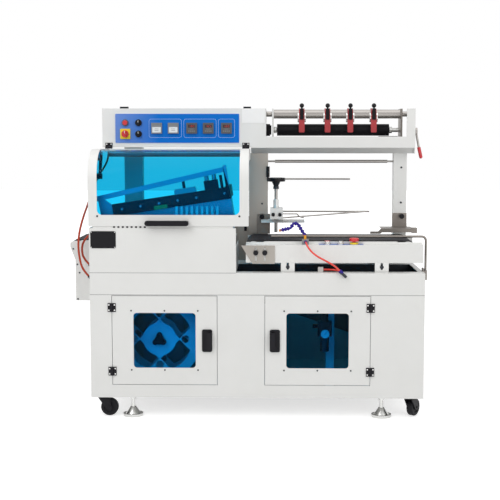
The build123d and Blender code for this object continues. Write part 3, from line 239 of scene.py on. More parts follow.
anyX = anyY = anyZ = (-2000, 2000)
insideXs, insideYs = (-702.5, 702.5), (-396, 417.5)
dress("cabinet_carcass", whiteCoat,
      # painted shade: the inside faces take the greyer coat
      (insideCoat, insideXs, insideYs, (97.5, 625.5)),
      (darkSteel, insideXs, insideYs, (480, 625.5)),  # painted shade: the upper part of the inside, channel and deck seen from below, in dark steel
      (blackPlastic, (-730, -705.5), anyY, (590, 620)),  # hose tail
      (chromePlate, (-440, -406), (-290, -100.5), (310, 342)),  # stub axle of the reel
      (whiteCoat, (299, 337), (-232, -193), (98.5, 561)))  # regulator post
for name in ("front_frame", "door_left", "door_right", "outfeed_housing"):
    dress(name, whiteCoat)
dress("apron_panel", whiteCoat,
      (blackPlastic, (-730, -705.5), (-360, -336), (640, 800)),  # hose tails
      (palePlastic, (-691, -99), (-396, -393), (811.5, 833)))  # slotted strip
dress("infeed_frame", whiteCoat,
      (yellowPlastic, (391, 429), (-367, -329), (746.5, 755)),  # collar of the emergency stop
      (chromePlate, (280, 372), (-367, -329), (746.5, 752)),  # rings of the run buttons
      (brushedSteel, (-40, 660), (-326, -4), (600, 760)))  # bed under the belt
dress("hood_frame", whiteCoat,
      (blackPlastic, anyX, (-16, 0), (1146.5, 1160)),  # moving halves of the hinges
      (darkSteel, (-702.5, -670), (-215, -140), (1015, 1125)),  # stay arm
      (darkSteel, (-702.5, -670), (-385, -180), (1013, 1041)))  # bar in front of it
dress("control_box", whiteCoat,
      (blackPlastic, anyX, anyY, (1326.5, 1340)),  # small blocks on top
      (blackPlastic, anyX, (-20, -0.2), (1140, 1180)))  # fixed halves of the hood's hinges
dress("control_panel", panelFilm)
dress("panel_fittings", greyPlastic,
      (darkPlastic, (-330, -110), (-20, 0), (1200, 1270)),  # controllers
      (blackPlastic, (-560, -520), anyY, anyZ),  # selector bezels
      (darkPlastic, (-620, -580), anyY, (1240, 1290)),  # power button's bezel
      (yellowPlastic, (-630, -570), anyY, (1180, 1238)))  # main switch's plate
dress("hood_window", hoodAcrylic)
for name in ("door_left_window", "door_right_window"):
    dress(name, doorAcrylic)
for name in ("door_left_fittings", "door_right_fittings", "hinge_leaves", "hood_handle", "clamp_knobs",
             "selector_1", "selector_2", "front_fork_left", "front_fork_right", "rear_caster_forks"):
    dress(name, blackPlastic)
for name in ("power_button", "main_switch", "estop_button"):
    dress(name, redPlastic)
for name, cap in (("run_button_1", redPlastic), ("run_button_2", darkPlastic)):
    dress(name, chromePlate, (cap, anyX, anyY, (760, 770)))
dress("frame_columns", brushedSteel,
      (whiteCoat, (600, 700), anyY, anyZ),  # right column
      (greyCoat, (-620, -525), anyY, anyZ))  # left column
dress("film_tray", whiteCoat,
      (milledAlu, (60, 72), anyY, (1128, 1330)),  # bearing plates
      (bracketSteel, (649, 659), anyY, (1128, 1330)))
dress("film_bars", rodSteel)
dress("film_roller", rollerRubber,
      (chromePlate, (50, 84.5), anyY, anyZ),  # journals
      (chromePlate, (602.5, 660), anyY, anyZ))
for index, x in enumerate((198, 316, 420, 527), 1):
    dress("perforator_%d" % index, redYoke,
          (chromePlate, (x - 19, x - 13.2), anyY, (1255, 1320)),  # side discs
          (chromePlate, (x + 13.2, x + 19), anyY, (1255, 1320)),
          (chromePlate, (x - 5.2, x + 5.2), (89, 122), (1237, 1275)),  # perforating disc
          (blackGloss, (x - 8.7, x + 8.7), (78, 90.7), (1276.5, 1330)),  # lever arm
          (blackGloss, anyX, anyY, (1327.5, 1360)))  # its ball
dress("lift_lever", rodSteel, (redPlastic, anyX, anyY, (1100, 1152.5)))  # red grip
dress("infeed_belt", beltRubber)
dress("outfeed_belt", beltRubber)
dress("infeed_roller", milledAlu)
dress("infeed_brackets", milledAlu,
      (brushedSteel, (-80, 80), (-376, -369), anyZ),  # nose plate
      (greyCoat, (257, 281), (-364, -340), anyZ))  # hose boss
dress("film_brackets", bracketSteel, (whiteCoat, (10, 215), (-25, 53.5), (811, 824)))  # forming arm
dress("handwheel", darkSteel,
      (rodSteel, (70, 92), (14, 36), (760, 962)),  # screw
      (blackGloss, anyX, anyY, (996, 1070)))  # crank handle
dress("forming_carriage", rodSteel,
      (milledAlu, (53, 113), (-62.1, 50), (830, 881)),  # block
      (blackPlastic, (55, 110), (-80, -62.2), (840, 865)),  # knobs
      (milledAlu, (66, 96), (10, 40), (880, 920)))  # nut
dress("lower_jaw", milledAlu,
      (jawAlu, anyX, (-352, -345), anyZ),  # comb
      (palePlastic, anyX, (-352, -345), (868.5, 907)))  # its teeth
dress("jaw_frame", jawAlu, (darkSteel, (-601, -94), anyY, (857.2, 946.5)), unturn=jawRest)  # beam
dress("guide_rail", bracketSteel, (darkSteel, (710, 717), (-322, -309), (570, 645)))  # bolts
dress("air_nozzle", nozzlePlastic,
      (greyPlastic, anyX, anyY, (740, 768.5)),  # foot
      (orangePlastic, (190, 216), anyY, (768.5, 786)),  # collar
      (orangePlastic, (80, 100), anyY, anyZ))  # tip
dress("air_regulator", blackPlastic, (darkSteel, anyX, anyY, (260, 336)))
dress("levelling_feet", chromePlate)
for name in ("front_wheel_left", "front_wheel_right", "rear_wheels"):
    dress(name, tyreRubber)
dress("scrap_reel", reelWhite, (blackPlastic, anyX, (-320, -285.5), anyZ))
dress("hose_valve", nozzlePlastic, (darkSteel, anyX, anyY, (600, 634)))
print("nodes dressed")

hoses = {
    "blow_hose": dict(
        points=[(205, -364.3, 758), (205, -394, 758), (212, -414, 742), (230, -419, 719),
                (254, -415, 701), (280, -413, 687), (305, -413, 674), (328.2, -413, 659.9),
                (345.5, -413, 642.2)],
        radius=4.0, finish=hoseRed, pieces=["hose_valve"]),
    "feed_hose": dict(
        points=[(350, -404.7, 637.7), (350, -384, 637.7), (338, -362, 638), (316, -352, 640),
                (280.3, -352, 640)],
        radius=4.0, finish=hoseRed, pieces=[]),
    "side_hose_outer": dict(
        points=[(-684, 46, 1150.7), (-684, 46, 1110), (-700, 36, 1066), (-722, 8, 1030), (-727, -52, 1004),
                (-727, -130, 976), (-727, -210, 944), (-728, -290, 906), (-736, -348, 862), (-750, -368, 804),
                (-756, -372, 746), (-752, -372, 694), (-740, -372, 640), (-713.7, -372, 612.7)],
        radius=4.5, finish=hoseRust, pieces=[]),
    "side_hose_inner": dict(
        points=[(-713.7, -348, 783.3), (-738, -348, 759), (-745.5, -348, 721), (-738, -348, 683),
                (-713.7, -348, 658.7)],
        radius=4.5, finish=hoseRust, pieces=[]),
}
tube = dict(order=3, steps=16, roundSteps=5)


def layHose(node, hose):
    curve = bpy.data.curves.new(node + "Line", "CURVE")
    curve.dimensions = "3D"
    line = curve.splines.new("NURBS")
    line.points.add(len(hose["points"]) - 1)
    for point, place in zip(line.points, hose["points"]):
        point.co = at(*place) + (1.0,)
    line.order_u = tube["order"]
    line.use_endpoint_u = True
    curve.resolution_u = tube["steps"]
    # the bare line is turned to a mesh once, and the mesh is removed again
    probe = bpy.data.objects.new(node + "Probe", curve)
    bpy.context.scene.collection.objects.link(probe)
    path = bpy.data.meshes.new_from_object(probe)
    bpy.data.objects.remove(probe)
    bpy.data.meshes.remove(path)
    curve.bevel_depth = hose["radius"] / 1000
    curve.bevel_resolution = tube["roundSteps"]
    curve.use_fill_caps = True
    piece = bpy.data.objects.new(node + "Tube", curve)
    bpy.context.scene.collection.objects.link(piece)
    curve.materials.append(hose["finish"])
    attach(piece, "machine")
    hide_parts(node)


for node, hose in hoses.items():
    layHose(node, hose)
print("hoses laid")

squareOn, straight = 0.9, 0.999  # how closely a face or an edge has to follow an axis
smoothAngle = math.radians(35)
turns = dict(front=(90, 0, 0), left=(0, -90, 0), right=(0, 90, 0))  # of what stands along Z, in degrees
looks = dict(front=(1, -1), top=(2, 1), left=(0, -1), right=(0, 1))  # axis and side that a face looks to


def clearSelection():
    if bpy.context.mode != "OBJECT":
        bpy.ops.object.mode_set(mode="OBJECT")
    bpy.ops.object.select_all(action="DESELECT")


def takeUp(name):
    piece = bpy.context.active_object
    piece.name = name
    piece.data.name = name
    bpy.ops.object.transform_apply(location=True, rotation=True, scale=True)
    bpy.ops.object.mode_set(mode="EDIT")
    return piece


def startBlock(name, xs, ys, zs):
    clearSelection()
    low, high = at(xs[0], ys[0], zs[0]), at(xs[1], ys[1], zs[1])
    bpy.ops.mesh.primitive_cube_add(size=1, location=[(a + b) / 2 for a, b in zip(low, high)],
                                    scale=[b - a for a, b in zip(low, high)])
    return takeUp(name)


def startBar(name, size, out=0.0):
    # a small bar on the row frame's own Z axis, to be placed by copyTo
    clearSelection()
    bpy.ops.mesh.primitive_cube_add(size=1, location=(0, 0, out / 1000), scale=[s / 1000 for s in size])
    return takeUp(name)


def startRod(name, place, radius, depth, facing, sides=24):
    clearSelection()
    bpy.ops.mesh.primitive_cylinder_add(vertices=sides, radius=radius / 1000, depth=depth / 1000,
                                        location=at(*place),
                                        rotation=[math.radians(t) for t in turns[facing]])
    return takeUp(name)


def pick(piece, test, kind="FACE"):
    bpy.ops.mesh.select_mode(type=kind)
    bpy.ops.mesh.select_all(action="DESELECT")
    bpy.ops.object.mode_set(mode="OBJECT")
    mesh = piece.data
    for part in (mesh.polygons if kind == "FACE" else mesh.edges):
        part.select = test(part)
    bpy.ops.object.mode_set(mode="EDIT")


def roundCorners(piece, axis, radius, steps=4):
    # bevels the edges that run along x, y or z
    k = "xyz".index(axis)

    def runsAlong(edge):
        a, b = (piece.data.vertices[i].co for i in edge.vertices)
        return abs(a[k] - b[k]) > straight * (a - b).length

    pick(piece, runsAlong, "EDGE")
    bpy.ops.mesh.bevel(offset=radius / 1000, segments=steps, affect="EDGES")


def softenAll(width, steps=2):
    bpy.ops.mesh.select_all(action="SELECT")
    bpy.ops.mesh.bevel(offset=width / 1000, segments=steps, affect="EDGES")


def stepFaces(look, rim, out):
    # insets the selected faces and moves what is inside the rim outwards, or inwards if out is negative
    axis, side = looks[look]
    move = [0.0, 0.0, 0.0]
    move[axis] = side * out / 1000
    bpy.ops.mesh.inset(thickness=rim / 1000)
    bpy.ops.mesh.extrude_region_move(TRANSFORM_OT_translate={"value": move})


def pushFaces(piece, look, rim, out):
    # the same for the faces that look one way
    axis, side = looks[look]
    pick(piece, lambda face: face.normal[axis] * side > squareOn)
    stepFaces(look, rim, out)


def leaveEdit(piece):
    bpy.ops.mesh.select_all(action="SELECT")
    bpy.ops.mesh.normals_make_consistent(inside=False)
    bpy.ops.object.mode_set(mode="OBJECT")
    bpy.ops.object.shade_smooth_by_angle(angle=smoothAngle)


def shapeBlock(name, xs, ys, zs, corner=None, push=None):
    # corner is an axis, a radius and steps for roundCorners; push is a look, a rim and how far out
    piece = startBlock(name, xs, ys, zs)
    if corner:
        roundCorners(piece, *corner)
    if push:
        pushFaces(piece, *push)
    leaveEdit(piece)
    return piece


def joinOnto(piece, others):
    clearSelection()
    for part in [piece] + others:
        part.select_set(True)
    bpy.context.view_layer.objects.active = piece
    bpy.ops.object.transform_apply(location=True, rotation=True, scale=True)
    if others:
        bpy.ops.object.join()


def copyTo(piece, moves):
    # moves in millimetres and degrees; the first places the model, the others copies with own meshes
    twins = [piece]
    for _ in moves[1:]:
        twin = piece.copy()
        twin.data = piece.data.copy()
        bpy.context.scene.collection.objects.link(twin)
        twins.append(twin)
    for twin, move in zip(twins, moves):
        twin.location = [m / 1000 for m in move[:3]]
        twin.rotation_euler = [math.radians(t) for t in move[3:]] or (0, 0, 0)
    joinOnto(piece, twins[1:])
    return piece


def settle(piece, body, slot, *finishes):
    if bpy.context.mode != "OBJECT":
        leaveEdit(piece)
    piece.data.materials.clear()
    for finish in finishes:
        piece.data.materials.append(finish)
    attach(piece, body)
    return piece


# shares of the radius, and the recess as a share of the height
headShape = dict(sides=16, rim=0.22, dome=0.14, land=0.36, recess=0.6)


def screwHead(name, radius, height):
    # pan head standing along Z at the row frame's origin, with a round recess
    clearSelection()
    bpy.ops.mesh.primitive_cylinder_add(vertices=headShape["sides"], radius=radius / 1000,
                                        depth=height / 1000, location=(0, 0, height / 2000))
    head = takeUp(name)
    pushFaces(head, "top", radius * headShape["rim"], radius * headShape["dome"])
    stepFaces("top", radius * headShape["land"], -height * headShape["recess"])
    leaveEdit(head)
    return head


def driveScrews(name, body, finish, radius, height, facing, places):
    head = screwHead(name, radius, height)
    copyTo(head, [spotOf(place) + turns[facing] for place in places])
    return settle(head, body, "chrome" if finish == chromePlate else "steel", finish)


doorScrews = dict(
    pane=dict(x=141, z=127, middleZ=341.5, front=-400, radius=3.4, height=1.8),
    hinge=dict(zs=(209, 482), step=11.5, off=12, front=-403, radius=3.2, height=1.6),
    doors=dict(left_door=dict(middle=-390, axis=-612.5, side=1),
               right_door=dict(middle=256, axis=478.5, side=-1)))
pane, hinge = doorScrews["pane"], doorScrews["hinge"]
for body, door in doorScrews["doors"].items():
    driveScrews(body + "PaneScrews", body, darkSteel, pane["radius"], pane["height"], "front",
                [(door["middle"] + dx, pane["front"], pane["middleZ"] + dz)
                 for dx in (-pane["x"], 0, pane["x"]) for dz in (-pane["z"], pane["z"])])
for body, door in doorScrews["doors"].items():
    for name, rides, side in (("HingeScrews", body, door["side"]), ("LeafScrews", "machine", -door["side"])):
        driveScrews(body + name, rides, chromePlate, hinge["radius"], hinge["height"], "front",
                    [(door["axis"] + side * hinge["off"], hinge["front"], z + dz) for z in hinge["zs"]
                     for dz in (-hinge["step"], hinge["step"])])
screwSets = dict(
    hoodCornerScrews=dict(body="hood", finish=darkSteel, radius=4.0, height=2.0, facing="front",
                          places=[(-669, -400, 868), (-73, -400, 868)]),
    hoodHingeScrews=dict(body="machine", finish=chromePlate, radius=3.4, height=1.6, facing="front",
                         places=[(x + dx, -3, 1166) for x in (-675, -56) for dx in (-10, 10)]),
    postScrews=dict(body="machine", finish=darkSteel, radius=4.5, height=2.4, facing="front",
                    places=[(652, 60, 900), (17, 60, 894), (652, 60, 1060)]),
    supportBolts=dict(body="machine", finish=darkSteel, radius=8.0, height=5.0, facing="front",
                      places=[(130, -367, 652), (526, -367, 652)]),
    outfeedFrontScrews=dict(body="machine", finish=darkSteel, radius=3.6, height=1.8, facing="front",
                            places=[(-790, -299, 720), (-764, -299, 617), (-773, -299, 503),
                                    (-773, -299, 653)]),
    outfeedCoverScrews=dict(body="machine", finish=chromePlate, radius=4.0, height=2.0, facing="left",
                            places=[(-782, y, z) for y in (-285, -18) for z in (512, 690)]))
for name, screw in screwSets.items():
    driveScrews(name, **screw)
print("screws driven")

panelLines = dict(
    front=-3.0, film=0.4, cornerSteps=6,
    panelOutline1=dict(xs=(-493, -346), zs=(1195, 1279), corner=10, line=1.1, finish=outlineInk),
    panelOutline2=dict(xs=(-336, -189), zs=(1195, 1279), corner=10, line=1.1, finish=outlineInk),
    panelOutline3=dict(xs=(-180, -106), zs=(1195, 1279), corner=10, line=1.1, finish=outlineInk),
    panelEdgeLine=dict(xs=(-644, -87), zs=(1173, 1301), corner=5, line=0.9, finish=panelEdge))


def printLine(name, xs, zs, corner, line, finish):
    # flat outline: plane, rounded corners, inset, the middle removed, then raised by a film's thickness
    clearSelection()
    middle = at(sum(xs) / 2, panelLines["front"], sum(zs) / 2)
    bpy.ops.mesh.primitive_plane_add(size=0.001, location=middle, rotation=(math.pi / 2, 0, 0))
    bpy.context.active_object.scale = (xs[1] - xs[0], zs[1] - zs[0], 1)  # the operator ignores its own scale
    piece = takeUp(name)
    bpy.ops.mesh.select_all(action="SELECT")
    bpy.ops.mesh.bevel(offset=corner / 1000, segments=panelLines["cornerSteps"], affect="VERTICES")
    bpy.ops.mesh.select_all(action="SELECT")
    bpy.ops.mesh.inset(thickness=line / 1000)
    bpy.ops.mesh.delete(type="FACE")
    bpy.ops.mesh.select_all(action="SELECT")
    bpy.ops.mesh.extrude_region_move(TRANSFORM_OT_translate={"value": (0, -panelLines["film"] / 1000, 0)})
    settle(piece, "machine", "blue_panel", finish)


for name in ("panelOutline1", "panelOutline2", "panelOutline3", "panelEdgeLine"):
    printLine(name, **panelLines[name])

meters = dict(timers=(-458, -383), controllers=(-300, -225, -143), z=1237.5, face=-10.0)
readings = dict(texts=("180", "165", "120"), bar=(3.8, 0.6, 1.1), tip=0.5, step=9, rise=9, proud=0.6)
segments = {"0": "abcdef", "1": "bc", "2": "abged", "5": "afgcd", "6": "afgedc", "8": "abcdefg"}
# x and z from the figure's middle, and degrees
strokes = dict(a=(0, 4.4, 0), g=(0, 0, 0), d=(0, -4.4, 0), f=(-2.5, 2.2, 90), b=(2.5, 2.2, 90),
               e=(-2.5, -2.2, 90), c=(2.5, -2.2, 90))
moves = []
for x, reading in zip(meters["controllers"], readings["texts"]):
    for place, digit in enumerate(reading):
        for letter in segments[digit]:
            dx, dz, roll = strokes[letter]
            spot = (x + readings["step"] * (place - 1) + dx, meters["face"] - readings["proud"],
                    meters["z"] + readings["rise"] + dz)
            moves.append(spotOf(spot) + (0, roll, 0))
stroke = startBar("controllerDigits", readings["bar"])
roundCorners(stroke, "y", readings["tip"], 1)
leaveEdit(stroke)
settle(copyTo(stroke, moves), "machine", "red_plastic", digitRed)

# reach of each block from a meter's middle and face; repeat is a count and a step
controllerParts = dict(
    controllerWindow=dict(xs=(-16, 16), ys=(-0.4, 0.1), zs=(2, 16), corner=1.5, steps=4, slot="black_plastic",
                          finish=smokedLens),
    controllerKey=dict(xs=(-15, -9.5), ys=(-1.2, 0.1), zs=(-15, -11), corner=1.0, steps=4,
                       repeat=(4, (8, 0, 0)), slot="meter_plastic", finish=greyPlastic),
    controllerBar=dict(xs=(-9, 9), ys=(-0.5, 0.1), zs=(-5, -3.2), corner=0.8, steps=2, slot="meter_plastic",
                       finish=greyPlastic))
timerParts = dict(
    timerFace=dict(xs=(-19.5, 19.5), ys=(-1.2, 0.1), zs=(-19.5, 5.5), corner=1.2, steps=2,
                   slot="meter_plastic", finish=palePlastic),
    timerSlot=dict(xs=(-9, 9), ys=(-1.7, -1.1), zs=(-4, -2.4), corner=0.7, steps=2, repeat=(2, (0, 0, -7)),
                   slot="meter_plastic", finish=greyPlastic),
    timerShade=dict(xs=(-19, 19), ys=(-2.4, 0.1), zs=(6, 19), rim=2.0, sunk=1.2, corner=0.6, steps=2,
                    slot="meter_plastic", finish=greyPlastic))


def fitOnMeter(name, x, part):
    piece = startBlock(name, [x + v for v in part["xs"]], [meters["face"] + v for v in part["ys"]],
                       [meters["z"] + v for v in part["zs"]])
    if "sunk" in part:
        pushFaces(piece, "front", part["rim"], -part["sunk"])
    roundCorners(piece, "y", part["corner"], part["steps"])
    leaveEdit(piece)
    count, step = part.get("repeat", (1, (0, 0, 0)))
    copyTo(piece, [[k * s for s in step] for k in range(count)])
    settle(piece, "machine", part["slot"], part["finish"])


for places, parts in ((meters["controllers"], controllerParts), (meters["timers"], timerParts)):
    for index, x in enumerate(places, 1):
        for name, part in parts.items():
            fitOnMeter(name + str(index), x, part)

marks = dict(selector_1=dict(xs=(-541.1, -538.9), ys=(-23.8, -23.1), zs=(1263, 1272), corner=("y", 1.0)),
             selector_2=dict(xs=(-541.1, -538.9), ys=(-23.8, -23.1), zs=(1213, 1222), corner=("y", 1.0)),
             main_switch=dict(xs=(-601.1, -598.9), ys=(-32.8, -32.1), zs=(1214, 1226), corner=("y", 1.0)))
for body, mark in marks.items():
    settle(shapeBlock(body + "Mark", **mark), body, "meter_plastic", palePlastic)
print("panel fitted")

plates = dict(
    apronPlate=dict(shape=dict(xs=(-699, -592), ys=(-401.4, -399.9), zs=(733, 805), corner=("y", 6),
                               push=("front", 2.0, 0.2)), slot="black_plastic", finish=blackGloss),
    boxCard=dict(shape=dict(xs=(-73, 30), ys=(-0.9, 0.1), zs=(1261, 1325.5), corner=("y", 1.5),
                            push=("front", 1.0, 0.2)), slot="white_coat", finish=whiteCard),
    ledgeStrip=dict(shape=dict(xs=(261, 449), ys=(-367.5, -330.5), zs=(745.9, 746.7), corner=("z", 3),
                               push=("top", 1.2, 0.2)), slot="blue_panel", finish=stripFilm))
for name, plate in plates.items():
    settle(shapeBlock(name, **plate["shape"]), "machine", plate["slot"], plate["finish"])
plateScrews = dict(radius=2.2, height=1.0, facing="front",
                   places=[(x, -401.4, z) for x in (-695, -596) for z in (737, 801)])
driveScrews("apronPlateScrews", "machine", chromePlate, **plateScrews)

# painted shadow: grey strips laid in the two seam lines stand in for the shadow along them
seams = dict(
    upperSeamBead=dict(xs=(-704.5, -88.5), ys=(-400.25, -399.65), zs=(628.2, 630.2), corner=("x", 0.2, 2)),
    lowerSeamBead=dict(xs=(-704.5, 704.5), ys=(-399.3, -398.7), zs=(535.1, 536.9), corner=("x", 0.2, 2)))
for name, seam in seams.items():
    settle(shapeBlock(name, **seam), "machine", "black_rubber", greyPlastic)

slotBacking = dict(xs=(-688, -102), ys=(-392.6, -391.4), zs=(814, 831), corner=("y", 2))
settle(shapeBlock("slotBacking", **slotBacking), "machine", "black_plastic", blackPlastic)

# closes the gap beside the left column
innerPlate = dict(xs=(-116, -36), ys=(98, 101), zs=(629, 834), push=("front", 7, -1.5))
settle(shapeBlock("innerPlate", **innerPlate), "machine", "steel", brushedSteel)
# painted shade: a black strip stands for the dark slot in the inner plate
chainGuard = dict(xs=(-66, -54), ys=(88, 98.5), zs=(766, 833), corner=("z", 3))
settle(shapeBlock("innerChainSlotShade", **chainGuard), "machine", "black_plastic", blackPlastic)
print("plates set")

gauge = dict(x=293, z=352, dialFront=-292, dialReach=5,
             ring=dict(middle=-290.5, radius=21.5, depth=7, sides=32, rim=3, sunk=1.4),
             tick=dict(front=-292.8, size=(1.2, 0.4, 4), out=14.5, soft=0.15, count=9, first=-135,
                       sweep=270),
             needle=dict(front=-293.2, size=(1.6, 0.6, 19), out=5, soft=0.2, turn=40))
shape = gauge["ring"]
ring = startRod("gaugeRing", (gauge["x"], shape["middle"], gauge["z"]), shape["radius"], shape["depth"],
                "front", shape["sides"])
pushFaces(ring, "front", shape["rim"], -shape["sunk"])
settle(ring, "machine", "black_plastic", blackGloss, palePlastic)
dialMiddle = at(gauge["x"], gauge["dialFront"], gauge["z"])
for face in ring.data.polygons:
    inDial = math.dist(face.center, dialMiddle) < gauge["dialReach"] / 1000
    face.material_index = 1 if inDial and face.normal.y < -squareOn else 0
shape = gauge["tick"]
tick = startBar("gaugeTicks", shape["size"], shape["out"])
softenAll(shape["soft"], 1)
leaveEdit(tick)
spot = spotOf((gauge["x"], shape["front"], gauge["z"]))
angles = [shape["first"] + shape["sweep"] * k / (shape["count"] - 1) for k in range(shape["count"])]
copyTo(tick, [spot + (0, angle, 0) for angle in angles])
settle(tick, "machine", "black_plastic", blackGloss)
shape = gauge["needle"]
needle = startBar("gaugeNeedle", shape["size"], shape["out"])
softenAll(shape["soft"], 1)
leaveEdit(needle)
copyTo(needle, [spotOf((gauge["x"], shape["front"], gauge["z"])) + (0, shape["turn"], 0)])
settle(needle, "machine", "black_plastic", blackGloss)

hoseCollar = dict(place=(205, -369.5, 758), radius=6.4, depth=10, rim=1.2, nose=3)
collar = startRod("hoseCollar", hoseCollar["place"], hoseCollar["radius"], hoseCollar["depth"], "front")
pushFaces(collar, "front", hoseCollar["rim"], hoseCollar["nose"])
settle(collar, "machine", "hose", nozzlePlastic)

rollerCoupling = dict(xs=(35.2, 53), ys=(128, 172), zs=(1203, 1258), corner=("x", 8), push=("right", 6, 6))
settle(shapeBlock("rollerCoupling", **rollerCoupling), "machine", "black_plastic", blackPlastic)

rollerSleeve = dict(place=(77.2, 150, 1231), radius=15, depth=13, sides=28, soft=1.2, apart=532.5)
sleeve = startRod("rollerSleeve", rollerSleeve["place"], rollerSleeve["radius"], rollerSleeve["depth"],
                  "right", rollerSleeve["sides"])
softenAll(rollerSleeve["soft"])
leaveEdit(sleeve)
copyTo(sleeve, [(0, 0, 0), (rollerSleeve["apart"], 0, 0)])
settle(sleeve, "film_roller", "chrome", chromePlate)

tubeStubs = dict(radius=12, depth=26, sides=28, soft=1.0, places=[(48.6, 120, 1303), (671.4, 120, 1303)])
stubs = startRod("tubeStubs", (0, 0, 0), tubeStubs["radius"], tubeStubs["depth"], "right", tubeStubs["sides"])
softenAll(tubeStubs["soft"])
leaveEdit(stubs)
copyTo(stubs, tubeStubs["places"])
settle(stubs, "machine", "steel", rodSteel)

# a shelf whose rear edge is folded down to the tray
rollerCradle = dict(shelf=dict(xs=(556, 642), ys=(134, 168), zs=(1198, 1202.5)), fold=164, drop=71.2)
cradle = startBlock("rollerCradle", **rollerCradle["shelf"])
fold = at(0, rollerCradle["fold"], 0)
bpy.ops.mesh.select_all(action="SELECT")
bpy.ops.mesh.bisect(plane_co=fold, plane_no=(0, 1, 0))
pick(cradle, lambda face: face.normal.z < -squareOn and face.center[1] > fold[1])
bpy.ops.mesh.extrude_region_move(TRANSFORM_OT_translate={"value": (0, 0, -rollerCradle["drop"] / 1000)})
settle(cradle, "machine", "black_plastic", blackPlastic)

trayCorner = dict(xs=(668, 703), ys=(0.2, 3.2), zs=(1199.5, 1325.5), push=("left", 0.6, 0.4))
settle(shapeBlock("trayCorner", **trayCorner), "machine", "white_coat", whiteCoat)

hoodGrip = dict(bar=dict(xs=(-467, -284), ys=(-436, -420), zs=(829, 851), corner=("y", 10.8, 8),
                         push=("front", 4, -4)),
                leg=dict(xs=(-465, -447), ys=(-424, -400), zs=(831, 849)), legSoft=2.0, legsApart=161)
grip = shapeBlock("hoodGrip", **hoodGrip["bar"])
leg = startBlock("hoodGripLeg", **hoodGrip["leg"])
softenAll(hoodGrip["legSoft"])
leaveEdit(leg)
copyTo(leg, [(0, 0, 0), (hoodGrip["legsApart"], 0, 0)])
joinOnto(grip, [leg])
settle(grip, "hood", "black_plastic", blackPlastic)
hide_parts("hood_handle")

hoodTopRail = dict(xs=(-671, -71), ys=(-62, -40), zs=(1112, 1136), corner=("x", 6), push=("front", 3, -2))
settle(shapeBlock("hoodTopRail", **hoodTopRail), "hood", "steel", bracketSteel)


def raiseWithJaw(piece):
    # pieces are modelled with the jaw shut and then turned up to where it rests
    pivot = Vector(at(*jawRest["pivot"]))
    turn = Matrix.Rotation(math.radians(-jawRest["angle"]), 4, "Y")
    piece.matrix_world = Matrix.Translation(pivot) @ turn @ Matrix.Translation(-pivot)
    joinOnto(piece, [])
    return piece


jawBolts = dict(xs=(-560, -480, -400, -320, -240, -120), front=-335, z=883, radius=5.0, height=3.5)
raiseWithJaw(driveScrews("jawBolts", "jaw", chromePlate, jawBolts["radius"], jawBolts["height"], "front",
                         [(x, jawBolts["front"], jawBolts["z"]) for x in jawBolts["xs"]]))

jawSprings = dict(xs=(-186, -154), y=-317.5, z=941, turns=6, pitch=4.4, mean=9.0, wire=1.5, wireSides=8,
                  steps=20)
clearSelection()
bpy.ops.mesh.primitive_circle_add(vertices=jawSprings["wireSides"], radius=jawSprings["wire"] / 1000,
                                  fill_type="NOTHING", rotation=(math.pi / 2, 0, 0),
                                  location=(jawSprings["mean"] / 1000, 0, 0))
coil = takeUp("jawSprings")
bpy.ops.object.mode_set(mode="OBJECT")
winding = coil.modifiers.new("winding", "SCREW")
winding.axis = "Z"
winding.screw_offset = jawSprings["pitch"] / 1000
winding.iterations = jawSprings["turns"]
winding.steps = winding.render_steps = jawSprings["steps"]
winding.use_merge_vertices = False
bpy.ops.object.modifier_apply(modifier="winding")
bpy.ops.object.mode_set(mode="EDIT")
bpy.ops.mesh.select_mode(type="EDGE")
bpy.ops.mesh.select_all(action="DESELECT")
bpy.ops.mesh.select_non_manifold()
bpy.ops.mesh.fill_holes(sides=0)
leaveEdit(coil)
copyTo(coil, [spotOf((x, jawSprings["y"], jawSprings["z"])) for x in jawSprings["xs"]])
settle(raiseWithJaw(coil), "jaw", "chrome", chromePlate)

jawGreenPad = dict(xs=(-424, -368), ys=(-339.5, -334.8), zs=(858, 874), corner=("y", 3))
settle(raiseWithJaw(shapeBlock("jawGreenPad", **jawGreenPad)), "jaw", "green_plastic", greenPad)
jawClampBar = dict(xs=(-330, -236), ys=(-331, -304), zs=(907.5, 926), corner=("y", 4), push=("top", 4, 4))
settle(raiseWithJaw(shapeBlock("jawClampBar", **jawClampBar)), "jaw", "aluminium", milledAlu)
print("fittings fitted")

stage = dict(
    floorSize=40.0, floorTone=(0.8, 0.8, 0.8, 1), floorRoughness=0.9, white=(1, 1, 1, 1),
    nearRing=0.9, farRing=5.0, nearGlow=0.6, farGlow=0.95, worldLevel=0.45,
    lamps=dict(keyBox=dict(power=78.0, size=2.6, place=(-2.4, -3.6, 3.4), aim=(0, 0, 0.7)),
               fillBox=dict(power=44.0, size=3.0, place=(3.0, -3.4, 2.2), aim=(0, 0, 0.6)),
               topBox=dict(power=32.0, size=3.0, place=(0.2, -0.6, 3.6), aim=(0, 0, 0.6))))


def seenRays(tree):
    # 1 for what the eye sees, directly, through the panes or mirrored, and 0 for the light on the object
    rays = addNode(tree, "ShaderNodeLightPath")
    seen = addNode(tree, "ShaderNodeMath", {"operation": "MAXIMUM"}, {
        0: rays.outputs["Is Camera Ray"], 1: rays.outputs["Is Transmission Ray"]})
    mirrored = addNode(tree, "ShaderNodeMath", {"operation": "MAXIMUM"}, {
        0: seen.outputs["Value"], 1: rays.outputs["Is Glossy Ray"]})
    return mirrored.outputs["Value"]


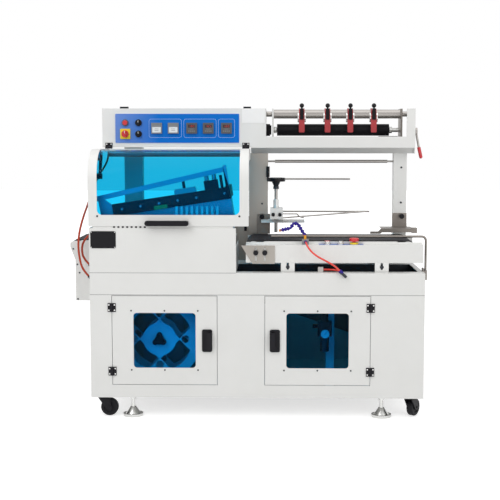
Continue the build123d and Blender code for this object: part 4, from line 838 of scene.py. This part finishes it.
def layFloor():
    # near the object the floor is lit and shadowed; further out it goes over to plain white for the eye
    clearSelection()
    bpy.ops.mesh.primitive_plane_add(size=stage["floorSize"], location=(0, 0, 0))
    floor = bpy.context.active_object
    floor.name = "paleFloor"
    material, tree, output, place = newMaterial("whiteStudioFloor")
    matt = addNode(tree, "ShaderNodeBsdfPrincipled", {
        "Base Color": stage["floorTone"], "Roughness": stage["floorRoughness"]})
    away = addNode(tree, "ShaderNodeVectorMath", {"operation": "LENGTH"}, {"Vector": place})
    whiter = addNode(tree, "ShaderNodeMapRange", {
        "From Min": stage["nearRing"], "From Max": stage["farRing"], "To Min": stage["nearGlow"],
        "To Max": stage["farGlow"]}, {"Value": away.outputs["Value"]})
    strength = addNode(tree, "ShaderNodeMath", {"operation": "MULTIPLY"}, {
        0: whiter.outputs["Result"], 1: seenRays(tree)})
    glow = addNode(tree, "ShaderNodeEmission", {"Color": stage["white"]},
                   {"Strength": strength.outputs["Value"]})
    both = addNode(tree, "ShaderNodeAddShader", {}, {0: matt.outputs["BSDF"], 1: glow.outputs["Emission"]})
    tree.links.new(both.outputs["Shader"], output.inputs["Surface"])
    floor.data.materials.append(material)


def hangWorld():
    world = bpy.data.worlds.new("studioWorld")
    bpy.context.scene.world = world
    world.use_nodes = True
    tree = world.node_tree
    tree.nodes.clear()
    level = addNode(tree, "ShaderNodeMapRange", {"To Min": stage["worldLevel"], "To Max": 1.0},
                    {"Value": seenRays(tree)})
    sky = addNode(tree, "ShaderNodeBackground", {"Color": stage["white"]},
                  {"Strength": level.outputs["Result"]})
    addNode(tree, "ShaderNodeOutputWorld", {}, {"Surface": sky.outputs["Background"]})


def hangLamp(name, power, size, place, aim):
    light = bpy.data.lights.new(name, "AREA")
    light.energy = power
    light.size = size
    lamp = bpy.data.objects.new(name, light)
    bpy.context.scene.collection.objects.link(lamp)
    lamp.location = place
    dx, dy, dz = (a - b for a, b in zip(aim, place))
    lamp.rotation_euler = (math.atan2(math.hypot(dx, dy), -dz), 0, math.atan2(-dx, dy))


layFloor()
hangWorld()
for name, lamp in stage["lamps"].items():
    hangLamp(name, **lamp)

lens = dict(focal=78.48, sensor=36.0, place=(0.0933, -4.932, 1.193), tilt=84.14, turn=1.2)
cameraData = bpy.data.cameras.new("productCamera")
cameraData.lens = lens["focal"]
cameraData.sensor_width = lens["sensor"]
camera = bpy.data.objects.new("productCamera", cameraData)
bpy.context.scene.collection.objects.link(camera)
camera.location = lens["place"]
camera.rotation_euler = (math.radians(lens["tilt"]), 0, math.radians(lens["turn"]))
bpy.context.scene.camera = camera
bpy.context.scene.view_settings.view_transform = "Standard"
print("stage and camera set")
